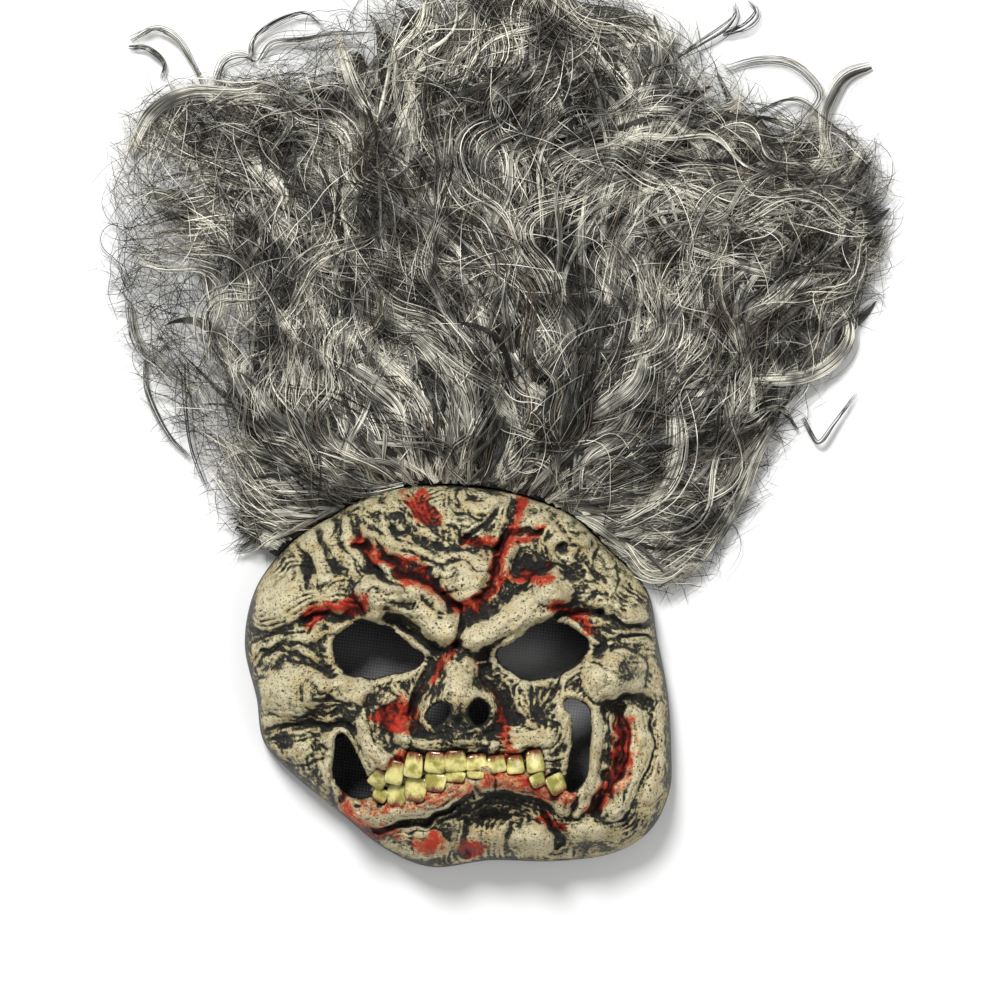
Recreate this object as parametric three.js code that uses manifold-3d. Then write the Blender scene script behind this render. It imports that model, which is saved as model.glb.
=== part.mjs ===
// A grey-haired zombie mask, lying face up: a moulded vinyl face, a black cloth hood behind it, and a long wig.
// Millimetres. +X runs across the face, +Y from chin to forehead and on along the hair, +Z up out of the face.
// The surface that the mask lies on is Z = 0, and the origin is the middle of the footprint.
import * as THREE from "three";
import { mergeVertices } from "three/addons/utils/BufferGeometryUtils.js";
import Module from "manifold-3d";

const wasm = await Module();
wasm.setup();

// Face: the moulded shell
const faceWidth = 202;
const faceHeight = 182;
const faceDepth = 82; // about what the tip of the nose stands above the surface
const domeShare = 0.75; // how much of that is the plain dome under the features
const rimDepth = 11; // how far the side wall stands up before it turns in
const wall = 2.6; // vinyl
const faceCells = 40; // facets across the outside
const innerCells = 22; // facets across the inside, which is plainer

// Teeth stand out of the mouth by this much
const toothStand = 4.2;
const toothBevel = 1.2;

// Hood: black knitted cloth, closed behind the face and folded flat, two layers thick, past the forehead
const cloth = 1.5;
const hoodWidth = 212;
const hoodReach = 118; // from the forehead's edge to the fold at the far end
const hoodTuck = 39; // how far the fold at the sides runs on beside the face
const hoodSlack = 17; // how far the back of the hood is pushed up into the face
const slackMargin = 16; // how far in from the face's edge that starts
const hoodReveal = 0.6; // how far its back stops short of the face's rim
const neckInset = 29; // the neck opening, from the chin's rim to the hood's lower hem
const bandHeight = 13; // how far the hood's front edge climbs the side of the face
const seamRadius = 2.4; // rolled seam along that edge
const hemRadius = 1.5; // hem at the neck
const seamFrom = 22; // degrees round the face, from its right side
const seamTo = 158;

// Wig: synthetic hair sewn to the hood
const hairWidth = 368;
const hairLength = 292;
const hairCentreX = 20; // the hair lies a little to one side of the face
const hairRise = 96; // from the forehead's edge to the middle of the hair
const hairDepth = 47;
const hairEdgeDepth = 7;
const hairLockDepth = 5; // how far the waves stand out of the mass
const hairCells = 32; // facets across the top

const clearance = 0.3; // between pieces that touch
const smallest = 0.15; // detail finer than this is left out

// Closed outline through hand-placed points, each a share of the half width and half height that it follows.
const faceOutline = [
  [-0.04, 0.99], [0.25, 0.95], [0.52, 0.84], [0.69, 0.67], [0.88, 0.45], [0.935, 0.18], [0.985, -0.12], [1, -0.415],
  [0.99, -0.61], [0.9, -0.81], [0.72, -0.93], [0.45, -0.97], [0.15, -0.965], [-0.12, -1], [-0.34, -0.905],
  [-0.55, -0.72], [-0.77, -0.52], [-0.91, -0.35], [-0.945, -0.12], [-1, 0.16], [-0.95, 0.445], [-0.8, 0.67],
  [-0.61, 0.82], [-0.34, 0.965],
];
const hairOutline = [
  [0.995, 0.24], [0.96, 0.46], [0.785, 0.555], [0.61, 0.65], [0.48, 0.81], [0.3, 0.95], [0.025, 1], [-0.25, 0.95],
  [-0.455, 0.84], [-0.63, 0.7], [-0.81, 0.635], [-0.96, 0.52], [-1, 0.24], [-0.985, -0.08], [-0.885, -0.365],
  [-0.785, -0.57], [-0.72, -0.745], [-0.66, -0.87], [-0.43, -0.905], [-0.11, -1.03], [0.25, -1.03], [0.39, -1.025],
  [0.495, -0.985], [0.57, -0.84], [0.66, -0.65], [0.76, -0.445], [0.885, -0.24], [0.975, -0.015],
];

// Openings through the face, in shares of its half width and half height.
const faceOpenings = {
  leftEye: [
    [-0.58, 0.13], [-0.53, 0.235], [-0.455, 0.29], [-0.37, 0.28], [-0.29, 0.235], [-0.21, 0.16], [-0.155, 0.1],
    [-0.25, 0.035], [-0.38, 0], [-0.48, 0.01], [-0.55, 0.06],
  ],
  rightEye: [
    [0.19, 0.12], [0.26, 0.2], [0.34, 0.265], [0.43, 0.288], [0.53, 0.255], [0.59, 0.2], [0.602, 0.14], [0.53, 0.05],
    [0.45, 0.005], [0.36, -0.01], [0.28, 0.005], [0.215, 0.06],
  ],
  leftCheek: [
    [-0.54, -0.3], [-0.5, -0.33], [-0.46, -0.41], [-0.405, -0.5], [-0.415, -0.62], [-0.53, -0.6], [-0.58, -0.5],
    [-0.575, -0.4],
  ],
  rightCheek: [
    [0.545, -0.15], [0.61, -0.17], [0.612, -0.3], [0.6, -0.43], [0.58, -0.52], [0.53, -0.59], [0.505, -0.55],
    [0.52, -0.4], [0.54, -0.27],
  ],
  leftNostril: [[-0.15, -0.175], [-0.09, -0.12], [-0.025, -0.105], [-0.04, -0.19], [-0.1, -0.24]],
  rightNostril: [[0.05, -0.13], [0.1, -0.105], [0.145, -0.17], [0.11, -0.235], [0.06, -0.2]],
};

// Pads: rounded swellings and hollows. Places and sizes are shares of the face's half width and half height,
// the turn is in degrees, and the rise is a share of faceDepth.
const padColumns = ["name", "at", "size", "turn", "rise"];
const pads = [
  ["left eye socket", [-0.4, 0.14], [0.31, 0.21], -8, -0.1],
  ["right eye socket", [0.41, 0.14], [0.29, 0.21], 8, -0.1],
  ["left cheekbone", [-0.73, -0.06], [0.27, 0.17], 4, 0.14],
  ["right cheekbone", [0.75, 0], [0.25, 0.16], -4, 0.14],
  ["nose", [0, -0.11], [0.22, 0.26], 0, 0.18],
  ["muzzle", [0.02, -0.42], [0.54, 0.3], 0, 0.12],
  ["mouth", [0, -0.49], [0.47, 0.15], 0, -0.05],
  ["chin", [0.3, -0.8], [0.24, 0.17], 0, 0.13],
  ["left chin", [-0.14, -0.85], [0.24, 0.13], 8, 0.09],
  ["right jaw", [0.8, -0.72], [0.27, 0.24], -30, 0.1],
  ["forehead knob", [0.08, 0.55], [0.13, 0.14], 0, 0.05],
  ["forehead pit", [0.32, 0.57], [0.12, 0.1], 20, -0.07],
  ["upper forehead", [-0.05, 0.85], [0.3, 0.16], 0, 0.05],
  ["left temple pit", [-0.7, 0.55], [0.06, 0.09], 0, -0.04],
];

// Folds: rolls and furrows along a quadratic curve, with the same units.
const foldColumns = ["name", "from", "via", "to", "width", "rise"];
const folds = [
  ["left brow roll", [-0.34, 0.45], [-0.12, 0.42], [-0.03, 0.22], 0.13, 0.12],
  ["left brow arch", [-0.9, 0.34], [-0.66, 0.52], [-0.34, 0.43], 0.14, 0.08],
  ["right brow roll", [0.05, 0.24], [0.2, 0.27], [0.4, 0.46], 0.13, 0.14],
  ["right brow arch", [0.4, 0.47], [0.58, 0.53], [0.84, 0.36], 0.13, 0.08],
  ["nose bridge", [0.02, 0.19], [0, 0.08], [-0.01, -0.03], 0.1, 0.07],
  ["left cheek strap", [-0.6, -0.07], [-0.4, -0.06], [-0.37, -0.38], 0.12, 0.07],
  ["right cheek strap", [0.6, -0.03], [0.45, -0.04], [0.4, -0.34], 0.11, 0.05],
  ["left cheek hollow", [-0.93, -0.25], [-0.7, -0.23], [-0.5, -0.26], 0.1, -0.1],
  ["left cheek flap", [-0.76, -0.36], [-0.7, -0.56], [-0.46, -0.74], 0.13, 0.05],
  ["right cheek pillar", [0.66, -0.18], [0.7, -0.42], [0.59, -0.64], 0.08, 0.06],
  ["right cheek gash", [0.78, -0.2], [0.8, -0.45], [0.7, -0.66], 0.08, -0.06],
  ["right jaw roll", [0.9, -0.12], [0.95, -0.45], [0.84, -0.68], 0.12, 0.05],
  ["lower lip left", [-0.48, -0.66], [-0.22, -0.71], [0.11, -0.52], 0.1, 0.1],
  ["lower lip right", [0.12, -0.51], [0.28, -0.5], [0.5, -0.63], 0.09, 0.09],
  ["lip crease", [-0.42, -0.79], [-0.15, -0.78], [0.08, -0.64], 0.08, -0.07],
  ["upper lip", [-0.24, -0.3], [0, -0.35], [0.2, -0.3], 0.1, 0.07],
  ["left forehead roll", [-0.6, 0.78], [-0.6, 0.62], [-0.38, 0.48], 0.09, 0.05],
  ["swirl roll", [-0.4, 0.74], [-0.33, 0.58], [-0.1, 0.42], 0.09, 0.04],
  ["right forehead gash", [0.28, 0.93], [0.22, 0.66], [0.17, 0.42], 0.09, -0.06],
];

// Teeth: the place of each, its width and height as shares of the face's half width, and its turn in degrees.
const toothColumns = ["at", "width", "height", "turn"];
const teeth = [
  [[-0.365, -0.51], 0.065, 0.09, -35],
  [[-0.285, -0.475], 0.066, 0.11, -15],
  [[-0.2, -0.435], 0.07, 0.115, -8],
  [[-0.1, -0.42], 0.08, 0.1, -5],
  [[-0.005, -0.415], 0.08, 0.1, 5],
  [[0.09, -0.425], 0.085, 0.078, 4],
  [[0.18, -0.43], 0.075, 0.085, 12],
  [[0.27, -0.43], 0.07, 0.075, 5],
  [[0.36, -0.42], 0.065, 0.11, 8],
  [[-0.36, -0.6], 0.06, 0.075, -25],
  [[-0.275, -0.6], 0.075, 0.105, -5],
  [[-0.19, -0.565], 0.085, 0.115, -8],
  [[-0.095, -0.53], 0.085, 0.08, -8],
  [[0, -0.495], 0.08, 0.05, -5],
  [[0.09, -0.488], 0.07, 0.036, 0],
  [[0.37, -0.515], 0.055, 0.06, 20],
  [[0.455, -0.54], 0.07, 0.095, 25],
];

// Locks: curled ends of hair past the mass. Starts are shares of the hair's half width and half length,
// headings and turns are in degrees, and lengths and widths are shares of the half width.
const lockColumns = ["at", "heading", "turn", "length", "width"];
const locks = [
  [[0.5, 0.7], 40, 170, 0.3, 0.06],
  [[0.7, 0.5], 70, -170, 0.36, 0.07],
  [[0.86, 0.34], 75, -130, 0.3, 0.07],
  [[0.9, 0.05], 60, -100, 0.22, 0.08],
  [[0.84, -0.22], 20, -90, 0.2, 0.08],
  [[0.16, 0.86], 60, 100, 0.2, 0.07],
  [[-0.16, 0.84], 125, -100, 0.22, 0.07],
  [[-0.42, 0.68], 150, -150, 0.3, 0.06],
  [[-0.62, 0.56], 140, 160, 0.34, 0.06],
  [[-0.82, 0.42], 120, 140, 0.3, 0.07],
  [[-0.88, 0.1], 150, 110, 0.24, 0.08],
  [[-0.84, -0.24], 190, 80, 0.22, 0.07],
];

const halfFace = [faceWidth / 2, faceHeight / 2];
const halfHair = [hairWidth / 2, hairLength / 2];
const foreheadY = faceHeight / 2;
const hairCentre = [hairCentreX, foreheadY + hairRise];
const shellBase = cloth + clearance;

const named = (columns, rows) =>
  rows.map((row) => Object.fromEntries(columns.map((column, i) => [column, row[i]])));

// A smooth closed curve through shares of a half width and half height, as plan points.
function closedCurve(shares, half, centre, steps) {
  const points = shares.map(([u, v]) => new THREE.Vector3(centre[0] + u * half[0], centre[1] + v * half[1], 0));
  return new THREE.CatmullRomCurve3(points, true, "catmullrom", 0.5).getPoints(steps).slice(0, steps);
}

// The distance from a centre to a closed curve round it, as a function of direction.
function reachOf(shares, half, centre) {
  const samples = closedCurve(shares, half, centre, 720)
    .map((p) => [Math.atan2(p.y - centre[1], p.x - centre[0]), Math.hypot(p.x - centre[0], p.y - centre[1])])
    .sort((a, b) => a[0] - b[0]);
  return (angle) => {
    let low = 0;
    let high = samples.length;
    while (low < high) {
      const middle = (low + high) >> 1;
      if (samples[middle][0] < angle) low = middle + 1;
      else high = middle;
    }
    const after = samples[low % samples.length];
    const before = samples[(low + samples.length - 1) % samples.length];
    const turn = 2 * Math.PI;
    const span = (((after[0] - before[0]) % turn) + turn) % turn;
    const part = (((angle - before[0]) % turn) + turn) % turn;
    return before[1] + (after[1] - before[1]) * (span > 0 ? Math.min(part / span, 1) : 0);
  };
}

const faceReach = reachOf(faceOutline, halfFace, [0, 0]);
const hairReach = reachOf(hairOutline, halfHair, hairCentre);

// 1 at the middle of a bump and 0 from its edge outwards.
const bump = (t) => (t < 1 ? (1 - t * t) ** 1.5 : 0);

// The share of the way along a quadratic curve that lies nearest a point, and the distance there.
function nearestOnFold(fold, x, y) {
  let best = Infinity;
  for (const part of fold.points) best = Math.min(best, Math.hypot(x - part[0], y - part[1]));
  return best;
}

const foldSteps = 24;
const padList = named(padColumns, pads);
const foldList = named(foldColumns, folds).map((fold) => {
  const points = [];
  for (let i = 0; i <= foldSteps; i++) {
    const t = i / foldSteps;
    points.push(
      [0, 1].map(
        (k) => halfFace[k] * ((1 - t) ** 2 * fold.from[k] + 2 * t * (1 - t) * fold.via[k] + t * t * fold.to[k]),
      ),
    );
  }
  return { ...fold, points };
});

// Relief on the dome, in millimetres, at a plan point.
function reliefAt(x, y) {
  let rise = 0;
  for (const pad of padList) {
    const turn = THREE.MathUtils.degToRad(pad.turn);
    const dx = x - pad.at[0] * halfFace[0];
    const dy = y - pad.at[1] * halfFace[1];
    const along = (dx * Math.cos(turn) + dy * Math.sin(turn)) / (pad.size[0] * halfFace[0]);
    const across = (dy * Math.cos(turn) - dx * Math.sin(turn)) / (pad.size[1] * halfFace[1]);
    rise += pad.rise * faceDepth * bump(Math.hypot(along, across));
  }
  for (const fold of foldList)
    rise += fold.rise * faceDepth * bump(nearestOnFold(fold, x, y) / (fold.width * halfFace[0]));
  return rise;
}

// The outside of the face above the surface it lies on.
function faceTop(x, y) {
  const share = Math.min(Math.hypot(x, y) / faceReach(Math.atan2(y, x)), 1);
  const dome = rimDepth + (domeShare * faceDepth - rimDepth) * (1 - share ** 2.4) ** 0.55;
  const fade = Math.min((1 - share) / 0.12, 1);
  return dome + reliefAt(x, y) * fade;
}

// The inside stays a wall's thickness from the outside in every direction, and follows its finer hollows.
function faceInside(x, y) {
  let low = faceTop(x, y) - wall;
  for (const [reach, drop] of [[0.7 * wall, 0.7 * wall], [wall, 0], [1.6 * wall, -0.2 * wall], [2.2 * wall, -0.6 * wall]])
    for (let k = 0; k < 8; k++) {
      const angle = (k * Math.PI) / 4;
      low = Math.min(low, faceTop(x + reach * Math.cos(angle), y + reach * Math.sin(angle)) - drop);
    }
  return Math.max(low, rimDepth / 2);
}

function manifoldOf(positions, indices) {
  const geometry = new THREE.BufferGeometry();
  geometry.setAttribute("position", new THREE.BufferAttribute(new Float32Array(positions), 3));
  geometry.setIndex(indices);
  return manifoldFrom(geometry);
}

function manifoldFrom(geometry) {
  const bare = geometry.clone();
  bare.deleteAttribute("normal");
  bare.deleteAttribute("uv");
  const merged = mergeVertices(bare, 1e-4);
  return new wasm.Manifold(
    new wasm.Mesh({
      numProp: 3,
      vertProperties: new Float32Array(merged.attributes.position.array),
      triVerts: new Uint32Array(merged.index.array),
    }),
  );
}

// A closed body over a rounded plan: a square grid pressed into the outline. Its underside is flat at a height
// where that is a number, and otherwise a surface like the top.
function plateOver({ reach, centre = [0, 0], inset = 0, cells, top, bottom }) {
  const across = cells + 1;
  const plan = [];
  for (let j = 0; j <= cells; j++)
    for (let i = 0; i <= cells; i++) {
      const a = (2 * i) / cells - 1;
      const b = (2 * j) / cells - 1;
      const dx = a * Math.sqrt(1 - (b * b) / 2);
      const dy = b * Math.sqrt(1 - (a * a) / 2);
      const angle = Math.atan2(dy, dx);
      const distance = Math.hypot(dx, dy) * (reach(angle) - inset);
      plan.push([centre[0] + distance * Math.cos(angle), centre[1] + distance * Math.sin(angle)]);
    }
  const at = (i, j) => j * across + i;
  const edge = [];
  for (let i = 0; i < cells; i++) edge.push(at(i, 0));
  for (let j = 0; j < cells; j++) edge.push(at(cells, j));
  for (let i = cells; i > 0; i--) edge.push(at(i, cells));
  for (let j = cells; j > 0; j--) edge.push(at(0, j));
  const flat = typeof bottom === "number";
  const positions = [];
  for (const [x, y] of plan) positions.push(x, y, top(x, y));
  const under = plan.length;
  if (flat) for (const p of edge) positions.push(...plan[p], bottom);
  else for (const [x, y] of plan) positions.push(x, y, bottom(x, y));
  const below = (n) => under + (flat ? n % edge.length : edge[n % edge.length]);
  const indices = [];
  for (let j = 0; j < cells; j++)
    for (let i = 0; i < cells; i++) {
      const [p, q, r, s] = [at(i, j), at(i + 1, j), at(i + 1, j + 1), at(i, j + 1)];
      const leaning = i < cells / 2 === j < cells / 2;
      const halves = leaning ? [[p, q, s], [q, r, s]] : [[p, q, r], [p, r, s]];
      for (const [a, b, c] of halves) {
        indices.push(a, b, c);
        if (!flat) indices.push(under + a, under + c, under + b);
      }
    }
  edge.forEach((p, n) => {
    const q = edge[(n + 1) % edge.length];
    indices.push(p, below(n), below(n + 1), p, below(n + 1), q);
  });
  if (flat) {
    const middle = positions.length / 3;
    positions.push(centre[0], centre[1], bottom);
    edge.forEach((p, n) => indices.push(middle, below(n + 1), below(n)));
  }
  return manifoldOf(positions, indices);
}

// An upright prism on a closed curve.
function prismOn(points, low, high) {
  const shape = new THREE.Shape(points.map((p) => new THREE.Vector2(p.x, p.y)));
  const geometry = new THREE.ExtrudeGeometry(shape, { depth: high - low, bevelEnabled: false });
  return manifoldFrom(geometry.translate(0, 0, low));
}

// The edge of a plan round a centre, grown by a margin.
function edgeOf(reach, centre, margin, steps) {
  const points = [];
  for (let i = 0; i < steps; i++) {
    const angle = (2 * Math.PI * i) / steps - Math.PI;
    const distance = reach(angle) + margin;
    points.push(new THREE.Vector2(centre[0] + distance * Math.cos(angle), centre[1] + distance * Math.sin(angle)));
  }
  return points;
}

// A closed round body along a path, with its own radius at each point.
function tubeAlong(path, radii, sides) {
  const curve = new THREE.CatmullRomCurve3(path, false, "catmullrom", 0.5);
  const steps = path.length - 1;
  const frames = curve.computeFrenetFrames(steps, false);
  const positions = [];
  const indices = [];
  path.forEach((point, n) => {
    for (let k = 0; k < sides; k++) {
      const angle = (2 * Math.PI * k) / sides;
      const side = frames.normals[n].clone().multiplyScalar(Math.cos(angle) * radii[n]);
      side.addScaledVector(frames.binormals[n], Math.sin(angle) * radii[n]).add(point);
      positions.push(side.x, side.y, side.z);
    }
  });
  for (let n = 0; n < steps; n++)
    for (let k = 0; k < sides; k++) {
      const [p, q] = [n * sides + k, n * sides + ((k + 1) % sides)];
      indices.push(p, q, p + sides, q, q + sides, p + sides);
    }
  for (let k = 1; k < sides - 1; k++) {
    indices.push(0, k + 1, k);
    indices.push(steps * sides, steps * sides + k, steps * sides + k + 1);
  }
  return manifoldOf(positions, indices);
}

// One tooth, set on the relief with its face outwards.
function toothBody({ at, width, height, turn }) {
  const [x, y] = [at[0] * halfFace[0], at[1] * halfFace[1]];
  const half = [(width * halfFace[0]) / 2 - toothBevel, (height * halfFace[0]) / 2 - toothBevel];
  const shape = new THREE.Shape([
    new THREE.Vector2(-half[0], -half[1]),
    new THREE.Vector2(half[0], -half[1]),
    new THREE.Vector2(half[0], half[1]),
    new THREE.Vector2(-half[0], half[1]),
  ]);
  const root = wall;
  const geometry = new THREE.ExtrudeGeometry(shape, {
    depth: root + toothStand - 2 * toothBevel,
    bevelSize: toothBevel,
    bevelThickness: toothBevel,
    bevelSegments: 1,
  });
  geometry.translate(0, 0, toothBevel - root);
  geometry.rotateZ(THREE.MathUtils.degToRad(turn));
  return manifoldFrom(geometry.translate(x, y, faceTop(x, y)));
}

function faceShell() {
  const outside = plateOver({ reach: faceReach, cells: faceCells, top: faceTop, bottom: shellBase });
  const hollow = plateOver({
    reach: faceReach,
    inset: wall,
    cells: innerCells,
    top: faceInside,
    bottom: shellBase - 1,
  });
  let shell = outside.subtract(hollow);
  for (const tooth of named(toothColumns, teeth)) shell = shell.add(toothBody(tooth));
  for (const opening of Object.values(faceOpenings))
    shell = shell.subtract(prismOn(closedCurve(opening, halfFace, [0, 0], 2 * opening.length), shellBase, 2 * faceDepth));
  return shell;
}

// The crown of the hood has a rounded plan: blunt at the far fold and short beside the face.
const hoodCentre = [0, foreheadY - 0.12 * faceHeight];
const hoodBluntness = 2.6;
function hoodReachAt(angle) {
  const along = Math.sin(angle) > 0 ? hoodReach + foreheadY - hoodCentre[1] : hoodTuck;
  const c = Math.abs(Math.cos(angle)) / (hoodWidth / 2);
  const s = Math.abs(Math.sin(angle)) / along;
  return (c ** hoodBluntness + s ** hoodBluntness) ** (-1 / hoodBluntness);
}

// The back of the hood is pushed up inside the face, in soft folds.
function slackAt(x, y) {
  const share = Math.min(Math.hypot(x, y) / (faceReach(Math.atan2(y, x)) - slackMargin), 1);
  const folded = 1 + 0.16 * Math.cos(x / 9 + y / 23) + 0.1 * Math.cos(y / 11 - x / 31);
  return hoodSlack * (1 - share * share) ** 2 * folded;
}

// The front edge of the hood: a band up the side of the face, with a rolled seam on it.
function frontEdge() {
  const steps = 28;
  const inner = [];
  const outer = [];
  const path = [];
  for (let n = 0; n <= steps; n++) {
    const angle = THREE.MathUtils.degToRad(seamFrom + ((seamTo - seamFrom) * n) / steps);
    const [c, s] = [Math.cos(angle), Math.sin(angle)];
    const reach = faceReach(angle) + 2 * clearance;
    inner.push(new THREE.Vector2(reach * c, reach * s));
    outer.push(new THREE.Vector2((reach + 1.4 * seamRadius) * c, (reach + 1.4 * seamRadius) * s));
    path.push(new THREE.Vector3((reach + seamRadius) * c, (reach + seamRadius) * s, bandHeight - seamRadius));
  }
  const band = prismOn([...outer, ...inner.reverse()], 0, bandHeight - seamRadius);
  return band.add(tubeAlong(path, path.map(() => seamRadius), 6));
}

// The hem across the neck opening.
function neckHem() {
  const y = neckInset - faceHeight / 2;
  const ends = [-1, 1].map((side) => {
    let x = 0;
    while (Math.hypot(x, y) < faceReach(Math.atan2(y, x)) - 3 * wall) x += side;
    return x;
  });
  const steps = 8;
  const path = [];
  for (let n = 0; n <= steps; n++) {
    const x = ends[0] + ((ends[1] - ends[0]) * n) / steps;
    path.push(new THREE.Vector3(x, y, hemRadius + slackAt(x, y)));
  }
  return tubeAlong(path, path.map(() => hemRadius), 5);
}

function hood() {
  let back = plateOver({
    reach: faceReach,
    inset: hoodReveal,
    cells: 14,
    top: (x, y) => cloth + slackAt(x, y),
    bottom: slackAt,
  });
  const crown = prismOn(edgeOf(hoodReachAt, hoodCentre, 0, 60), 0, 2 * cloth);
  const faceRoom = prismOn(edgeOf(faceReach, [0, 0], clearance, 72), cloth, 2 * faceDepth);
  const neckY = neckInset - faceHeight / 2;
  const neck = new wasm.Manifold.cube([2 * faceWidth, faceHeight, 2 * faceDepth])
    .translate([-faceWidth, neckY - faceHeight, -faceDepth]);
  back = back.subtract(neck).add(neckHem());
  return back.add(crown.subtract(faceRoom)).add(frontEdge());
}

// Waves across the mass of hair, fanning out from the face.
function waveAt(x, y) {
  const angle = Math.atan2(y, x);
  const distance = Math.hypot(x, y) / faceWidth;
  const bend = 1.5 * Math.sin(7.5 * distance) + 0.8 * Math.sin(3.3 * distance + 5 * angle);
  return Math.cos(17 * angle + bend) + 0.4 * Math.cos(29 * angle - 2 * bend) * Math.min(distance - 0.5, 1);
}

function hairTop(x, y) {
  const [dx, dy] = [x - hairCentre[0], y - hairCentre[1]];
  const share = Math.min(Math.hypot(dx, dy) / hairReach(Math.atan2(dy, dx)), 1);
  const mass = hairEdgeDepth + (hairDepth - hairLockDepth - hairEdgeDepth) * (1 - share ** 2) ** 0.8;
  return mass + (hairLockDepth / 1.4) * waveAt(x, y) * Math.min((1 - share) / 0.2, 1);
}

// One curled lock, lying on the surface from inside the mass to its tip.
function lockBody({ at, heading, turn, length, width }) {
  const steps = 6;
  const step = (length * halfHair[0]) / steps;
  const thick = (width * halfHair[0]) / 2;
  const point = new THREE.Vector3(hairCentre[0] + at[0] * halfHair[0], hairCentre[1] + at[1] * halfHair[1], 0);
  const path = [];
  const radii = [];
  for (let n = 0; n <= steps; n++) {
    const part = n / steps;
    const angle = THREE.MathUtils.degToRad(heading + turn * part);
    radii.push(thick * (1 - 0.65 * part));
    path.push(point.clone().setZ(thick + 0.2));
    point.x += step * Math.cos(angle);
    point.y += step * Math.sin(angle);
  }
  return tubeAlong(path, radii, 5);
}

function wigHair() {
  let hair = plateOver({ reach: hairReach, centre: hairCentre, cells: hairCells, top: hairTop, bottom: 0 });
  for (const lock of named(lockColumns, locks)) hair = hair.add(lockBody(lock));
  const hoodRoom = prismOn(edgeOf(hoodReachAt, hoodCentre, clearance, 60), -1, 2 * cloth + clearance);
  const faceRoom = prismOn(edgeOf(faceReach, [0, 0], 2 * seamRadius + 4 * clearance, 72), -1, 2 * faceDepth);
  return hair.subtract(hoodRoom).subtract(faceRoom);
}

function meshOf(name, body, material) {
  const made = body.simplify(smallest).getMesh();
  const geometry = new THREE.BufferGeometry();
  geometry.setAttribute("position", new THREE.BufferAttribute(new Float32Array(made.vertProperties), 3));
  geometry.setIndex(new THREE.BufferAttribute(new Uint32Array(made.triVerts), 1));
  geometry.computeVertexNormals();
  const mesh = new THREE.Mesh(geometry, material);
  mesh.name = name;
  return mesh;
}

const vinyl = new THREE.MeshStandardMaterial({ color: 0xbdb48c, roughness: 0.55, metalness: 0 });
const knit = new THREE.MeshStandardMaterial({ color: 0x242427, roughness: 0.9, metalness: 0 });
const fibre = new THREE.MeshStandardMaterial({ color: 0x6d6c69, roughness: 0.45, metalness: 0 });

const mask = new THREE.Group();
mask.add(meshOf("face_shell", faceShell(), vinyl), meshOf("hood", hood(), knit), meshOf("wig_hair", wigHair(), fibre));

// The origin is the middle of the footprint.
const extent = new THREE.Box3().setFromObject(mask);
mask.position.set(-(extent.min.x + extent.max.x) / 2, -(extent.min.y + extent.max.y) / 2, -extent.min.z);

export default mask;
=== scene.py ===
# A grey-haired zombie mask, lying face up on a pale floor and seen from straight above.
import math

import bpy
import numpy as np
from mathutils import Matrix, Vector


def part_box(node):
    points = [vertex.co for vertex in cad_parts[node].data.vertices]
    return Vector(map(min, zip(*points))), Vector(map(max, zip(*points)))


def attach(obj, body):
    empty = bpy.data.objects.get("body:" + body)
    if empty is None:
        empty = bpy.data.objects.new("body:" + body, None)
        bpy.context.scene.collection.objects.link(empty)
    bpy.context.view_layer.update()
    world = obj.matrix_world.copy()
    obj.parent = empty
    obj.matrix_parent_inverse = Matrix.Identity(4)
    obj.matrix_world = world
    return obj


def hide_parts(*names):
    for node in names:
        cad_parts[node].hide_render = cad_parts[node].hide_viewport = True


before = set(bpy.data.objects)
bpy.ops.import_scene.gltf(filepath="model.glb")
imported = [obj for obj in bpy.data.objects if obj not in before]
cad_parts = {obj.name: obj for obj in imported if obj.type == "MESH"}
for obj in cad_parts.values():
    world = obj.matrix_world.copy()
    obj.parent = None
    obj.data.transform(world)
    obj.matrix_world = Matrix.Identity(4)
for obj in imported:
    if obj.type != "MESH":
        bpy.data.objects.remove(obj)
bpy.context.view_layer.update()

# Sizes are in millimetres from the middle of the face, until placed() moves them into the frame.
faceLook = {
    "width": 202.0,
    "height": 182.0,
    "depth": 82.0,  # what rises are shares of; the tip of the nose is a little higher
    "dome": 0.75,  # how much of the depth is the plain dome under everything
    "rimDepth": 11.0,  # height of the outer edge
    "rimFade": 0.055,  # the outer share of the face where pads and folds die away
    "wall": 2.6,
    "base": 1.8,  # height of the rim's lower edge
    "cells": 280,  # along each side of the outer grid
    "innerCells": 84,
    "black": ((0.003, 0.003, 0.003), (0.055, 0.055, 0.05)),
    "cream": ((0.3, 0.25, 0.12), (0.98, 0.87, 0.58)),
    "yellowed": (0.72, 0.55, 0.27),
    "greyed": (0.5, 0.48, 0.28),
    "red": ((0.02, 0.003, 0.003), (0.62, 0.05, 0.028)),
    "redStain": (1, 0.42, 0.3),
    "inside": (0.02, 0.02, 0.02),
}
wall = faceLook["wall"]
halfFace = np.array([faceLook["width"], faceLook["height"]]) / 2
faceMiddle = np.mean(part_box("face_shell"), axis=0)[:2] * 1000 + [0, 0.45]

print("camera")
cameraLook = {
    "lens": 166,
    "sensor": 36,
    "place": (-0.0002, -0.0448, 2.2),  # straight above, in metres
}
camera = bpy.data.objects.new("camera", bpy.data.cameras.new("camera"))
bpy.context.scene.collection.objects.link(camera)
camera.data.sensor_width = cameraLook["sensor"]
camera.data.lens = cameraLook["lens"]
camera.data.clip_end = 10
camera.location = cameraLook["place"]
bpy.context.scene.camera = camera


# Moves points from the face's middle to its place in the frame, and turns millimetres into metres.
def placed(points):
    moved = np.array(points, dtype=float)
    moved[..., :2] += faceMiddle
    return moved / 1000


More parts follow.
